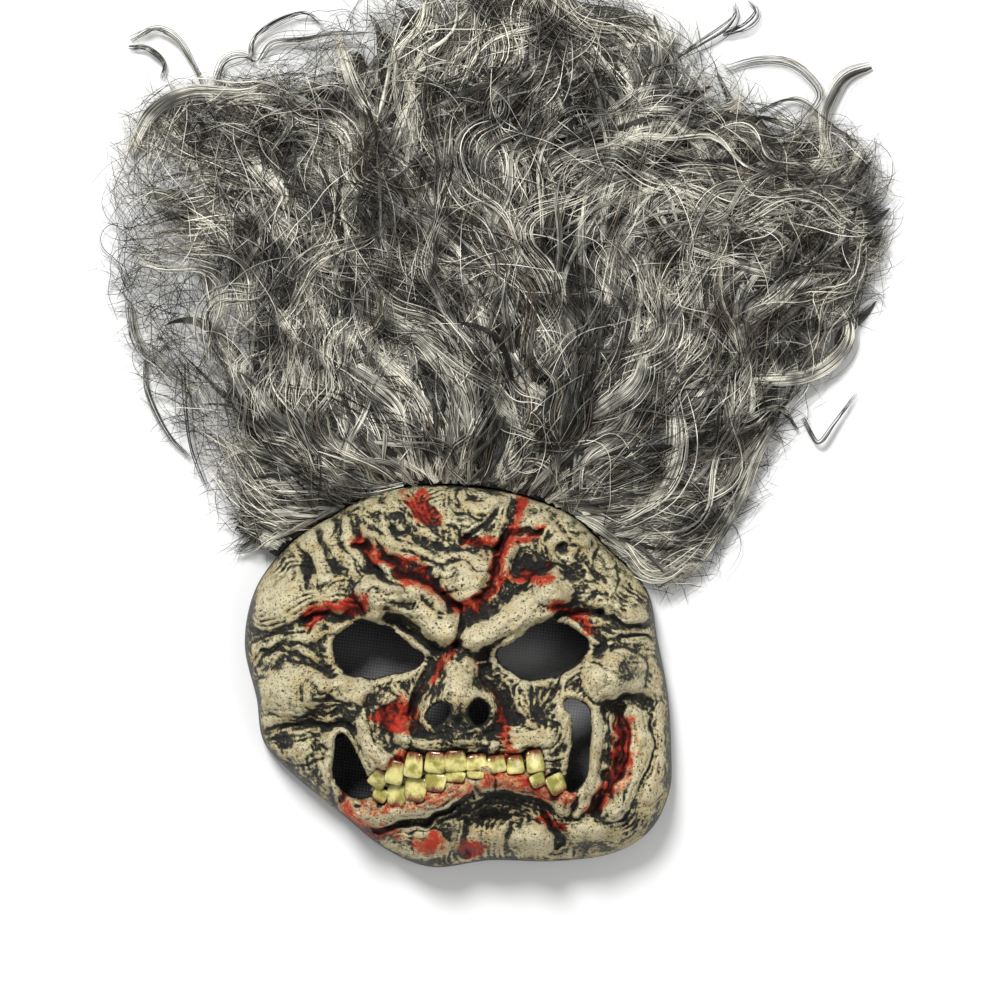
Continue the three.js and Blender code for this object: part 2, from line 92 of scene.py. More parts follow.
# A piece made from points in millimetres and faces of four corners each, which stands for a part of the model.
def meshPiece(name, points, quads, material, replaces):
    mesh = bpy.data.meshes.new(name)
    mesh.vertices.add(len(points))
    mesh.vertices.foreach_set("co", placed(points).astype(np.float32).ravel())
    mesh.loops.add(quads.size)
    mesh.loops.foreach_set("vertex_index", quads.astype(np.int32).ravel())
    mesh.polygons.add(len(quads))
    mesh.polygons.foreach_set("loop_start", np.arange(0, quads.size, 4, dtype=np.int32))
    mesh.update(calc_edges=True)
    mesh.validate()
    mesh.shade_smooth()
    mesh.materials.append(material)
    piece = bpy.data.objects.new(name, mesh)
    bpy.context.scene.collection.objects.link(piece)
    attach(piece, "root")
    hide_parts(replaces)
    return piece


# A number or a vector for each point, for the material to read.
def setAttribute(piece, name, values):
    kind, field = ("FLOAT", "value") if values.ndim == 1 else ("FLOAT_VECTOR", "vector")
    layer = piece.data.attributes.new(name, kind, "POINT")
    layer.data.foreach_set(field, values.astype(np.float32).ravel())


# Smooth noise between -1 and 1: random heights on a square lattice, blended between its points.
def smoothNoise(x, y, size, seed):
    table = np.random.default_rng(seed).uniform(-1, 1, (64, 64))
    u, v = x / size, y / size
    i, j = np.floor(u).astype(int), np.floor(v).astype(int)
    s, t = u - i, v - j
    s, t = s * s * (3 - 2 * s), t * t * (3 - 2 * t)
    i0, i1, j0, j1 = i % 64, (i + 1) % 64, j % 64, (j + 1) % 64
    low = table[i0, j0] * (1 - s) + table[i1, j0] * s
    high = table[i0, j1] * (1 - s) + table[i1, j1] * s
    return low * (1 - t) + high * t


# 1 where the value is zero, and less and less on either side of it.
def bell(value, width):
    return np.exp(-((value / width) ** 2))


# A cubic curve from b to c at share t, steered by the places before and after them.
def between(a, b, c, d, t):
    return 0.5 * (2 * b + (c - a) * t + (2 * a - 5 * b + 4 * c - d) * t * t + (3 * b - a - 3 * c + d) * t ** 3)


# A smooth closed curve through places given as shares of a half width and half height.
def closedCurve(shares, half, steps):
    points = np.array(shares) * half
    position = np.arange(steps) * len(points) / steps
    k = position.astype(int)
    a, b, c, d = [points[(k + m) % len(points)] for m in (-1, 0, 1, 2)]
    return between(a, b, c, d, (position - k)[:, None])


# A function that tells how far an outline reaches from its middle at an angle.
def reachOf(shares, half):
    curve = closedCurve(shares, half, 720)
    angles = np.arctan2(curve[:, 1], curve[:, 0])
    order = np.argsort(angles)
    distances = np.hypot(curve[:, 0], curve[:, 1])[order]
    angles = angles[order]
    return lambda angle: np.interp(angle, angles, distances, period=2 * math.pi)


# The outline and every place in the tables that follow are shares of the face's half width and half height.
faceOutline = [
    [-0.04, 0.99], [0.25, 0.95], [0.52, 0.84], [0.69, 0.67], [0.88, 0.45], [0.935, 0.18], [0.985, -0.12],
    [1, -0.415], [0.99, -0.61], [0.9, -0.81], [0.72, -0.93], [0.45, -0.97], [0.15, -0.965], [-0.12, -1],
    [-0.34, -0.905], [-0.55, -0.72], [-0.77, -0.52], [-0.91, -0.35], [-0.945, -0.12], [-1, 0.16],
    [-0.95, 0.445], [-0.8, 0.67], [-0.61, 0.82], [-0.34, 0.965],
]
faceReach = reachOf(faceOutline, halfFace)

faceOpenings = {
    "leftEye": [
        [-0.572, 0.18], [-0.548, 0.225], [-0.51, 0.26], [-0.455, 0.291], [-0.394, 0.286], [-0.338, 0.265],
        [-0.296, 0.245], [-0.249, 0.204], [-0.205, 0.159], [-0.158, 0.13], [-0.154, 0.095], [-0.184, 0.059],
        [-0.245, 0.033], [-0.319, 0.018], [-0.385, -0.003], [-0.45, 0.01], [-0.506, 0.018], [-0.543, 0.059],
        [-0.566, 0.106],
    ],
    "rightEye": [
        [0.184, 0.137], [0.212, 0.162], [0.259, 0.188], [0.305, 0.224], [0.343, 0.26], [0.399, 0.281],
        [0.459, 0.286], [0.51, 0.268], [0.552, 0.24], [0.599, 0.198], [0.604, 0.157], [0.59, 0.116],
        [0.557, 0.075], [0.506, 0.039], [0.464, 0.013], [0.408, 0], [0.343, -0.008], [0.301, 0],
        [0.254, 0.033], [0.198, 0.08],
    ],
    "leftCheek": [
        [-0.559, -0.299], [-0.518, -0.29], [-0.463, -0.39], [-0.422, -0.488], [-0.401, -0.541], [-0.415, -0.617],
        [-0.49, -0.617], [-0.545, -0.579], [-0.579, -0.496], [-0.572, -0.42], [-0.565, -0.36],
    ],
    "rightCheek": [
        [0.494, -0.11], [0.535, -0.103], [0.604, -0.148], [0.617, -0.193], [0.611, -0.345], [0.604, -0.481],
        [0.576, -0.541], [0.529, -0.587], [0.501, -0.541], [0.515, -0.42], [0.53, -0.329], [0.525, -0.193],
        [0.492, -0.155],
    ],
    "leftNostril": [
        [-0.14, -0.2], [-0.125, -0.15], [-0.08, -0.115], [-0.035, -0.12], [-0.03, -0.16], [-0.06, -0.21],
        [-0.1, -0.235],
    ],
    "rightNostril": [
        [0.055, -0.14], [0.085, -0.1], [0.13, -0.11], [0.148, -0.16], [0.13, -0.215], [0.09, -0.23],
        [0.06, -0.19],
    ],
}

# Broad forms: place, size, turn in degrees, rise as a share of the face's depth.
pads = [
    [[-0.4, 0.14], [0.31, 0.21], -8, -0.12],
    [[0.41, 0.14], [0.29, 0.21], 8, -0.12],
    [[-0.75, -0.06], [0.25, 0.17], 4, 0.08],
    [[0.75, 0.02], [0.24, 0.15], -4, 0.08],
    [[0.63, -0.1], [0.12, 0.09], 0, 0.05],
    [[-0.91, -0.14], [0.09, 0.13], 0, 0.04],
    [[0, -0.11], [0.21, 0.26], 0, 0.17],
    [[0.01, -0.06], [0.13, 0.11], 0, 0.05],
    [[-0.13, -0.17], [0.09, 0.1], 0, 0.04],
    [[0.16, -0.15], [0.09, 0.1], 0, 0.04],
    [[0.01, -0.26], [0.09, 0.07], 0, 0.04],
    [[0.02, -0.42], [0.54, 0.3], 0, 0.12],
    [[0.16, -0.82], [0.16, 0.13], 0, 0.09],
    [[0.37, -0.83], [0.12, 0.11], 0, 0.09],
    [[0.6, -0.8], [0.13, 0.1], 0, 0.07],
    [[-0.14, -0.85], [0.26, 0.14], 8, 0.08],
    [[0.8, -0.68], [0.27, 0.26], -30, 0.07],
    [[0.04, 0.52], [0.16, 0.17], 0, 0.06],
    [[0.33, 0.57], [0.12, 0.1], 25, -0.08],
    [[0.42, 0.79], [0.14, 0.07], -20, 0.03],
    [[0.5, 0.66], [0.04, 0.035], 0, -0.05],
    [[-0.41, 0.77], [0.06, 0.06], 0, 0.04],
    [[-0.71, 0.58], [0.04, 0.13], 8, -0.06],
    [[-0.83, 0.41], [0.16, 0.15], 0, 0.03],
    [[-0.25, 0.375], [0.06, 0.04], 0, -0.04],
    [[-0.13, 0.39], [0.06, 0.03], -40, -0.03],
    [[-0.82, -0.33], [0.06, 0.06], 0, -0.04],
    [[-0.72, -0.3], [0.05, 0.045], 0, 0.03],
    [[-0.61, -0.32], [0.05, 0.045], 0, 0.03],
    [[-0.13, -0.31], [0.09, 0.07], 0, 0.03],
    [[-0.25, -0.29], [0.05, 0.04], 0, 0.03],
    [[0.31, -0.27], [0.12, 0.07], 0, 0.04],
    [[0.47, -0.24], [0.08, 0.17], 0, 0.03],
    [[0.2, -0.6], [0.16, 0.07], 0, -0.04],
    [[0.16, -0.69], [0.09, 0.04], 0, -0.04],
    [[-0.4, -0.12], [0.05, 0.05], 0, -0.05],
    [[0.15, 0.9], [0.1, 0.07], 10, 0.03],
    [[-0.05, 0.2], [0.06, 0.05], 0, 0.03],
    [[0.09, 0.19], [0.07, 0.06], 0, 0.03],
]

# Lobes: the same, with a distinct edge.
lobes = [
    [[-0.77, -0.06], [0.19, 0.14], 8, 0.085],
    [[-0.47, -0.07], [0.19, 0.06], -16, 0.045],
    [[0.72, 0.01], [0.17, 0.13], 0, 0.095],
    [[0.1, 0.23], [0.1, 0.08], 25, 0.045],
    [[-0.06, 0.24], [0.075, 0.07], -30, 0.04],
    [[0.03, -0.13], [0.15, 0.11], 0, 0.045],
    [[0.3, -0.84], [0.16, 0.12], -12, 0.045],
    [[-0.12, -0.86], [0.1, 0.09], 0, 0.035],
    [[0.08, 0.5], [0.1, 0.15], -6, 0.03],
    [[0.68, 0.55], [0.05, 0.12], 15, 0.03],
    [[-0.86, 0.44], [0.12, 0.12], 0, 0.03],
    [[-0.26, -0.32], [0.04, 0.035], 0, 0.03],
    [[-0.17, -0.31], [0.045, 0.035], 0, 0.03],
    [[0.06, -0.31], [0.08, 0.04], 0, 0.03],
    [[0.02, -0.83], [0.14, 0.11], 0, 0.012],
    [[0.62, -0.82], [0.17, 0.11], 10, 0.015],
    [[0.86, -0.62], [0.09, 0.14], 0, 0.012],
]

# Rolls stand out and furrows cut in, along a curve through three places. Width is a share of the
# half width and rise a share of the depth.
folds = [
    [[-0.36, 0.43], [-0.14, 0.42], [-0.05, 0.25], 0.1, 0.14],
    [[-0.9, 0.34], [-0.64, 0.52], [-0.3, 0.41], 0.1, 0.08],
    [[0.09, 0.22], [0.24, 0.25], [0.43, 0.46], 0.1, 0.15],
    [[0.42, 0.46], [0.58, 0.53], [0.82, 0.35], 0.075, 0.08],
    [[0.64, 0.4], [0.78, 0.36], [0.86, 0.3], 0.04, 0.03],
    [[0.02, 0.1], [0.01, 0.02], [0.01, -0.08], 0.09, 0.08],
    [[0.0, 0.32], [0.015, 0.25], [0.02, 0.15], 0.024, -0.07],
    [[-0.62, -0.06], [-0.4, -0.06], [-0.38, -0.4], 0.09, 0.07],
    [[-0.44, -0.25], [-0.39, -0.34], [-0.35, -0.45], 0.06, 0.05],
    [[0.6, -0.02], [0.46, -0.02], [0.42, -0.34], 0.075, 0.05],
    [[-0.93, -0.31], [-0.76, -0.19], [-0.47, -0.27], 0.03, -0.05],
    [[-0.82, -0.38], [-0.7, -0.4], [-0.56, -0.33], 0.05, 0.04],
    [[-0.74, -0.4], [-0.68, -0.6], [-0.46, -0.74], 0.08, 0.05],
    [[-0.64, -0.42], [-0.62, -0.58], [-0.46, -0.68], 0.05, 0.04],
    [[0.65, -0.16], [0.69, -0.42], [0.57, -0.64], 0.05, 0.08],
    [[0.76, -0.18], [0.79, -0.42], [0.65, -0.67], 0.045, -0.06],
    [[0.84, -0.2], [0.88, -0.45], [0.72, -0.68], 0.05, 0.05],
    [[0.93, -0.16], [0.98, -0.45], [0.9, -0.62], 0.05, 0.04],
    [[-0.5, -0.69], [-0.2, -0.74], [0.1, -0.52], 0.075, 0.11],
    [[0.13, -0.5], [0.28, -0.48], [0.5, -0.63], 0.055, 0.09],
    [[-0.38, -0.79], [-0.12, -0.79], [0.07, -0.59], 0.024, -0.05],
    [[-0.24, -0.3], [0, -0.36], [0.38, -0.31], 0.05, 0.035],
    [[0, -0.25], [0.08, -0.29], [0.16, -0.34], 0.035, 0.04],
    [[0.38, -0.69], [0.46, -0.76], [0.47, -0.88], 0.028, -0.045],
    [[0.24, -0.76], [0.27, -0.84], [0.25, -0.94], 0.022, -0.03],
    [[0.05, -0.74], [0.03, -0.83], [0.06, -0.94], 0.024, -0.03],
    [[-0.7, 0.29], [-0.44, 0.4], [-0.08, 0.12], 0.03, -0.05],
    [[-0.64, 0.22], [-0.42, 0.37], [-0.14, 0.12], 0.03, 0.03],
    [[0.12, 0.13], [0.36, 0.33], [0.67, 0.35], 0.03, -0.05],
    [[0.21, 0.17], [0.42, 0.35], [0.63, 0.18], 0.03, 0.03],
    [[0.36, 0.31], [0.43, 0.35], [0.5, 0.33], 0.025, 0.03],
    [[-0.71, 0.76], [-0.7, 0.64], [-0.62, 0.53], 0.04, 0.04],
    [[-0.62, 0.82], [-0.6, 0.62], [-0.4, 0.48], 0.045, 0.05],
    [[-0.52, 0.78], [-0.5, 0.6], [-0.3, 0.45], 0.03, 0.04],
    [[-0.44, 0.73], [-0.36, 0.56], [-0.06, 0.38], 0.035, 0.05],
    [[-0.46, 0.76], [-0.4, 0.56], [-0.26, 0.44], 0.025, -0.04],
    [[-0.52, 0.87], [-0.42, 0.93], [-0.33, 0.86], 0.03, 0.03],
    [[-0.35, 0.8], [-0.32, 0.66], [-0.14, 0.56], 0.035, 0.035],
    [[-0.48, 0.7], [-0.38, 0.68], [-0.15, 0.55], 0.035, -0.05],
    [[-0.27, 0.56], [-0.14, 0.49], [0.02, 0.38], 0.03, -0.05],
    [[-0.3, 0.9], [-0.2, 0.84], [-0.12, 0.72], 0.035, 0.03],
    [[0.29, 0.93], [0.22, 0.64], [0.12, 0.4], 0.04, -0.06],
    [[0.2, 0.68], [0.3, 0.75], [0.38, 0.74], 0.03, -0.05],
    [[0.19, 0.67], [0.1, 0.71], [0.02, 0.72], 0.03, -0.05],
    [[0.27, 0.65], [0.17, 0.44], [0.46, 0.56], 0.035, 0.05],
    [[0.44, 0.64], [0.5, 0.6], [0.58, 0.69], 0.03, 0.04],
    [[0.43, 0.66], [0.49, 0.73], [0.58, 0.69], 0.03, 0.04],
    [[0.64, 0.72], [0.56, 0.66], [0.61, 0.54], 0.03, 0.035],
    [[0.02, 0.93], [0.09, 0.84], [0.17, 0.92], 0.03, 0.035],
    [[0.06, 0.96], [0.12, 1.0], [0.2, 0.9], 0.03, 0.03],
    [[-0.08, 0.9], [-0.02, 0.8], [0.08, 0.78], 0.035, 0.03],
    [[-0.09, 0.61], [0.04, 0.63], [0.16, 0.6], 0.032, 0.035],
    [[-0.1, 0.53], [0.04, 0.555], [0.15, 0.53], 0.032, 0.035],
    [[-0.08, 0.475], [0.04, 0.495], [0.13, 0.48], 0.028, 0.03],
    [[-0.05, 0.42], [0.04, 0.44], [0.1, 0.43], 0.025, 0.025],
    [[0.72, 0.3], [0.8, 0.31], [0.88, 0.27], 0.025, 0.025],
    [[0.7, 0.23], [0.8, 0.25], [0.9, 0.2], 0.025, 0.025],
    [[0.7, 0.17], [0.8, 0.19], [0.92, 0.13], 0.025, 0.025],
    [[-0.93, 0.05], [-0.8, 0.14], [-0.66, 0.12], 0.03, 0.03],
    [[-0.95, 0.14], [-0.82, 0.22], [-0.68, 0.2], 0.028, 0.025],
    [[-0.12, 0.06], [-0.2, -0.06], [-0.25, -0.2], 0.035, -0.05],
    [[0.13, 0.06], [0.2, -0.06], [0.27, -0.2], 0.035, -0.05],
    [[-0.3, -0.04], [-0.24, -0.14], [-0.26, -0.26], 0.035, 0.03],
    [[0.56, -0.13], [0.7, -0.17], [0.87, -0.09], 0.026, -0.03],
    [[0.47, 0.88], [0.56, 0.78], [0.7, 0.6], 0.028, 0.03],
    [[0.4, 0.86], [0.5, 0.76], [0.66, 0.5], 0.022, -0.03],
    [[-0.6, 0.72], [-0.5, 0.82], [-0.36, 0.72], 0.025, 0.03],
    [[-0.3, 0.78], [-0.16, 0.74], [-0.06, 0.64], 0.022, -0.025],
    [[-0.28, 0.7], [-0.14, 0.66], [-0.06, 0.56], 0.022, 0.025],
    [[0.2, 0.9], [0.14, 0.78], [0.02, 0.7], 0.022, -0.025],
    [[0.34, 0.9], [0.44, 0.92], [0.52, 0.8], 0.025, 0.03],
    [[-0.9, 0.12], [-0.74, 0.14], [-0.62, 0.06], 0.022, -0.03],
    [[0.66, 0.36], [0.76, 0.26], [0.93, 0.26], 0.02, -0.025],
    [[0.66, 0.26], [0.78, 0.2], [0.94, 0.18], 0.02, -0.025],
    [[-0.56, -0.46], [-0.64, -0.62], [-0.5, -0.78], 0.02, -0.03],
    [[0.62, -0.24], [0.63, -0.44], [0.55, -0.66], 0.02, -0.03],
    [[0.3, -0.04], [0.27, -0.14], [0.36, -0.24], 0.035, 0.03],
]

# Teeth: the middle of each, its width and height as shares of the face's half width, and its turn in degrees.
upperTeeth = [
    [[-0.362, -0.515], 0.07, 0.09, -35],
    [[-0.285, -0.478], 0.072, 0.11, -14],
    [[-0.198, -0.436], 0.074, 0.115, -8],
    [[-0.1, -0.42], 0.082, 0.098, -5],
    [[-0.006, -0.413], 0.088, 0.098, 4],
    [[0.09, -0.42], 0.086, 0.076, 4],
    [[0.18, -0.43], 0.078, 0.08, 10],
    [[0.268, -0.434], 0.07, 0.084, 4],
    [[0.357, -0.42], 0.072, 0.104, 8],
]
lowerTeeth = [
    [[-0.357, -0.602], 0.064, 0.066, -25],
    [[-0.278, -0.6], 0.08, 0.1, -6],
    [[-0.19, -0.565], 0.09, 0.112, -8],
    [[-0.099, -0.524], 0.086, 0.086, -8],
    [[-0.008, -0.497], 0.082, 0.052, -4],
    [[0.086, -0.484], 0.07, 0.034, 0],
    [[0.37, -0.515], 0.06, 0.06, 20],
    [[0.457, -0.54], 0.074, 0.09, 25],
]


# The distance to a polyline and the nearest place on it: the least over its spans, each measured to the
# foot of the perpendicular or to an end.
def polylineDistance(x, y, points, closed=False):
    count = len(points)
    best = np.full(x.shape, 1e9)
    nearX, nearY = np.zeros((2, *x.shape))
    for n in range(count if closed else count - 1):
        ax, ay = points[n]
        bx, by = points[(n + 1) % count]
        dx, dy = bx - ax, by - ay
        t = np.clip(((x - ax) * dx + (y - ay) * dy) / (dx * dx + dy * dy + 1e-12), 0, 1)
        px, py = ax + t * dx, ay + t * dy
        d = np.hypot(x - px, y - py)
        nearer = d < best
        best = np.where(nearer, d, best)
        nearX, nearY = np.where(nearer, px, nearX), np.where(nearer, py, nearY)
    return best, nearX, nearY


# Which places lie inside a closed polyline: those that an odd number of its sides pass on one side.
def insideOf(x, y, points):
    inside = np.zeros(x.shape, dtype=bool)
    for (ax, ay), (bx, by) in zip(points, np.roll(points, -1, axis=0)):
        crosses = (ay > y) != (by > y)
        inside ^= crosses & (x < (bx - ax) * (y - ay) / (by - ay + 1e-12) + ax)
    return inside


# A curve from start to end, drawn towards the place between them by the square of the share of the way.
def quadraticCurve(start, via, end, steps=14):
    t = np.linspace(0, 1, steps)[:, None]
    start, via, end = [np.array(p) * halfFace for p in (start, via, end)]
    return (1 - t) ** 2 * start + 2 * t * (1 - t) * via + t * t * end


openingCurves = [closedCurve(shares, halfFace, 96) for shares in faceOpenings.values()]


# The distance to the nearest opening's edge, below zero inside, and the nearest place on it.
def openingDistance(x, y):
    best = np.full(x.shape, 1e9)
    nearX, nearY = np.zeros((2, *x.shape))
    for curve in openingCurves:
        d, px, py = polylineDistance(x, y, curve, closed=True)
        d = np.where(insideOf(x, y, curve), -d, d)
        nearer = d < best
        best = np.where(nearer, d, best)
        nearX, nearY = np.where(nearer, px, nearX), np.where(nearer, py, nearY)
    return best, nearX, nearY


# How far a place lies along and across something that sits at a spot and is turned, in millimetres.
def turnedPlace(x, y, at, turn):
    turn = math.radians(turn)
    dx, dy = x - at[0] * halfFace[0], y - at[1] * halfFace[1]
    return dx * math.cos(turn) + dy * math.sin(turn), dy * math.cos(turn) - dx * math.sin(turn)


# How far out a place lies on a turned oval: 0 at its middle and 1 at its edge.
def ovalReach(x, y, at, size, turn):
    along, across = turnedPlace(x, y, at, turn)
    return np.hypot(along / (size[0] * halfFace[0]), across / (size[1] * halfFace[1]))


# The same on a tooth, whose edge is a rounded square, with the shares across and up it.
def toothShares(x, y, tooth):
    at, width, height, turn = tooth
    across, up = turnedPlace(x, y, at, turn)
    across, up = across / (width * halfFace[0] / 2), up / (height * halfFace[0] / 2)
    return across, up, (np.abs(across) ** 4 + np.abs(up) ** 4) ** 0.25


# The plain dome: full height in the middle, and down to the rim by powers of the share of the way out.
def domeHeight(x, y):
    share = np.minimum(np.hypot(x, y) / faceReach(np.arctan2(y, x)), 1)
    rise = faceLook["dome"] * faceLook["depth"] - faceLook["rimDepth"]
    return faceLook["rimDepth"] + rise * (1 - share ** 2.4) ** 0.55, share


# Each pad and lobe adds its rise times a power of one less the square of the
# way out: soft for pads, steep for lobes.
def padsHeight(x, y):
    rise = np.zeros(x.shape)
    for rows, power in ((pads, 1.4), (lobes, 0.55)):
        for at, size, turn, amount in rows:
            reach = np.minimum(ovalReach(x, y, at, size, turn), 1)
            rise += amount * faceLook["depth"] * (1 - reach ** 2) ** power
    return rise


# How far a place lies on a lobe, from 0 to 1.
def onLobe(x, y):
    cover = np.zeros(x.shape)
    for at, size, turn, _ in lobes:
        cover = np.maximum(cover, np.clip(2.2 - 2.2 * ovalReach(x, y, at, size, turn), 0, 1))
    return cover


# The folds by their distance to each curve, and wrinkles that run along with them 2.7 mm apart.
def foldsHeight(x, y):
    rise, wrinkles = np.zeros((2, *x.shape))
    weight = np.full(x.shape, 1e-6)
    for n, (start, via, end, width, amount) in enumerate(folds):
        d = polylineDistance(x, y, quadraticCurve(start, via, end))[0]
        reach = width * halfFace[0]
        t = np.minimum(d / reach, 1)
        rise += amount * faceLook["depth"] * (1 - t * t) ** (0.9 if amount > 0 else 1.6)
        near = bell(d, reach + 7)
        wrinkles += near * np.cos(d * 2 * math.pi / 2.7 + 2.5 * smoothNoise(x, y, 9, 40 + n) + n)
        weight += near
    return rise, wrinkles / np.maximum(weight, 0.35)


# The height of the face. Pads, folds and then lumps, ridges, wrinkles, creases and pits lie on
# the dome and die away at the rim. The fine surface is also sunk round the teeth, raised at the
# gums, and rolled at each opening's edge.
def faceRelief(x, y, fine=True):
    dome, share = domeHeight(x, y)
    warpX = x + 2.8 * smoothNoise(x, y, 13, 1) + 1.3 * smoothNoise(x, y, 4.6, 2)
    warpY = y + 2.8 * smoothNoise(x, y, 13, 3) + 1.3 * smoothNoise(x, y, 4.6, 4)
    folded, wrinkles = foldsHeight(warpX, warpY)
    height = padsHeight(0.4 * x + 0.6 * warpX, 0.4 * y + 0.6 * warpY) + folded
    fade = np.clip((1 - share) / faceLook["rimFade"], 0, 1)
    fade = fade * fade * (3 - 2 * fade)
    if not fine:
        return dome + height * fade
    plain = 1 - 0.85 * onLobe(x, y)
    height += 1.1 * smoothNoise(x, y, 11, 5) + 0.8 * smoothNoise(x, y, 6, 6)
    height += (1.3 * (0.5 - np.abs(smoothNoise(warpX, warpY, 5.5, 7))) + 0.85 * wrinkles) * plain
    height += 0.8 * (0.5 - np.abs(smoothNoise(warpX, warpY, 3.1, 9))) * (0.4 + 0.6 * plain)
    height += 0.4 * smoothNoise(x, y, 2.6, 8)
    height = dome + height * fade
    mouth = np.zeros(x.shape)
    for rows, gum, gumAt in ((upperTeeth, 1.7, 1.75), (lowerTeeth, 1.2, -1.8)):
        for tooth in rows:
            across, up, reach = toothShares(x, y, tooth)
            mouth = np.maximum(mouth, bell(np.maximum(reach - 0.9, 0), 0.42))
            height += gum * bell(across, 0.75) * bell(up - gumAt, 0.5)
    gap = openingDistance(x, y)[0]
    height += 1.6 * bell(gap - 2.0, 1.7) - 1.2 * bell(gap - 6.5, 2.5) - 2.0 * bell(np.maximum(gap, 0), 0.9)
    return height - 3.4 * mouth


# A square grid pressed into an outline: its points row by row, its quads, and the points round its edge.
def discGrid(cells, reach, inset):
    side = np.linspace(-1, 1, cells + 1)
    a, b = np.meshgrid(side, side)
    dx, dy = a * np.sqrt(1 - b * b / 2), b * np.sqrt(1 - a * a / 2)
    angle = np.arctan2(dy, dx)
    distance = np.hypot(dx, dy) * (reach(angle) - inset)
    x, y = distance * np.cos(angle), distance * np.sin(angle)
    row = cells + 1
    step = np.arange(cells)
    corner = (step[:, None] * row + step[None, :]).ravel()
    quads = np.stack([corner, corner + 1, corner + 1 + row, corner + row], axis=1)
    edge = np.concatenate([step, step * row + cells, cells * row + cells - step, (cells - step) * row])
    return x.ravel(), y.ravel(), quads, edge


# Drops the quads inside the openings and pulls the corners of those that cross an edge onto it.
def cutOpenings(x, y, quads):
    gap, nearX, nearY = openingDistance(x, y)
    outside = gap > 0.25
    quads = quads[outside[quads].any(axis=1)]
    pulled = np.isin(np.arange(len(x)), quads) & ~outside
    return np.where(pulled, nearX, x), np.where(pulled, nearY, y), quads


# The edges that only one quad has, in that quad's direction.
def openEdges(quads):
    starts = quads.ravel()
    ends = np.roll(quads, -1, axis=1).ravel()
    key = np.minimum(starts, ends).astype(np.int64) * 10_000_000 + np.maximum(starts, ends)
    _, first, counts = np.unique(key, return_index=True, return_counts=True)
    lone = first[counts == 1]
    return np.stack([starts[lone], ends[lone]], axis=1)


# Drops the points that no quad uses.
def usedOnly(quads, *values):
    used, quads = np.unique(quads, return_inverse=True)
    return quads.reshape(-1, 4), *[value[used] for value in values]


# The mean of the square round each place of a grid, from running totals.
def boxBlur(grid, radius):
    padded = np.pad(grid, radius, mode="edge")
    total = np.pad(padded.cumsum(axis=0).cumsum(axis=1), ((1, 0), (1, 0)))
    size = 2 * radius + 1
    found = total[size:, size:] - total[:-size, size:] - total[size:, :-size] + total[:-size, :-size]
    return found / size ** 2


print("face")
x, y, quads, edge = discGrid(faceLook["cells"], faceReach, 0)
outerCount = len(x)
grid = faceRelief(x, y).reshape(faceLook["cells"] + 1, -1)

# How far the surface stands out from the mean round it, at three scales, for the paint. The broadest is painted
# shade round the large forms and lighter paint on their tops.
relief = {}
for name, blurred, most, highest in (
    ("relief", boxBlur(boxBlur(grid, 5), 5), 2.4, 1),
    ("fine", boxBlur(grid, 2), 0.7, 1),
    # painted shade round the large forms, lighter paint on their tops
    ("broad", boxBlur(boxBlur(grid, 12), 12), 5, 0.7),
):
    relief[name] = np.clip((grid - blurred).ravel() / most, -1, highest)

x, y, quads = cutOpenings(x, y, quads)
onRim = np.zeros(outerCount, dtype=bool)
onRim[edge] = True
facePoints = [np.stack([x, y, faceRelief(x, y)], axis=1)]
faceQuads = [quads]
insideShare = [np.zeros(outerCount)]
count = outerCount


# Adds one more ring of points below the surface and the number each of them gets.
def addRing(points, inside):
    global count
    facePoints.append(points)
    insideShare.append(np.full(len(points), inside))
    count += len(points)
    return np.arange(count - len(points), count)


# The wall that shows at each opening: its edge again, lower down.
edges = openEdges(quads)
edges = edges[~onRim[edges].all(axis=1)]
lipPoints = np.unique(edges)
starts, ends = np.searchsorted(lipPoints, edges).T
previous = lipPoints
for drop in (1.3, 3.4):
    current = addRing(facePoints[0][lipPoints] - [0, 0, drop], 1.0)
    faceQuads.append(np.stack([previous[ends], previous[starts], current[starts], current[ends]], axis=1))
    previous = current

# The side wall down to the floor, round the rim and up the inside: shares of the height, and how far in.
rimPath = [(0.82, -0.35), (0.55, -0.45), (0.25, -0.3), (0.06, 0), (0, 0.6), (0, wall), (0.3, wall), (0.9, wall)]
ring = facePoints[0][edge]
outwards = ring[:, :2] / np.hypot(ring[:, 0], ring[:, 1])[:, None]
previous = edge
for level, inset in rimPath:
    height = faceLook["base"] + (ring[:, 2] - faceLook["base"]) * level
    current = addRing(np.column_stack([ring[:, :2] - inset * outwards, height]), 0.6)
    faceQuads.append(np.stack([previous, current, np.roll(current, -1), np.roll(previous, -1)], axis=1))
    previous = current

# The plainer inside: lower than the forms above it, also than those a little way to its sides.
innerX, innerY, innerQuads, _ = discGrid(faceLook["innerCells"], faceReach, wall)
innerX, innerY, innerQuads = cutOpenings(innerX, innerY, innerQuads)
innerZ = faceRelief(innerX, innerY) - wall
for reach, drop in [(1.8, 3.2), (2.6, 1.9), (4.5, 0.9)]:
    for angle in np.arange(6) * math.pi / 3:
        beside = faceRelief(innerX + reach * math.cos(angle), innerY + reach * math.sin(angle), fine=False)
        innerZ = np.minimum(innerZ, beside - drop)
faceQuads.append(innerQuads[:, ::-1] + count)
addRing(np.stack([innerX, innerY, np.maximum(innerZ, 5.5)], axis=1), 1.0)
facePoints = np.concatenate(facePoints)

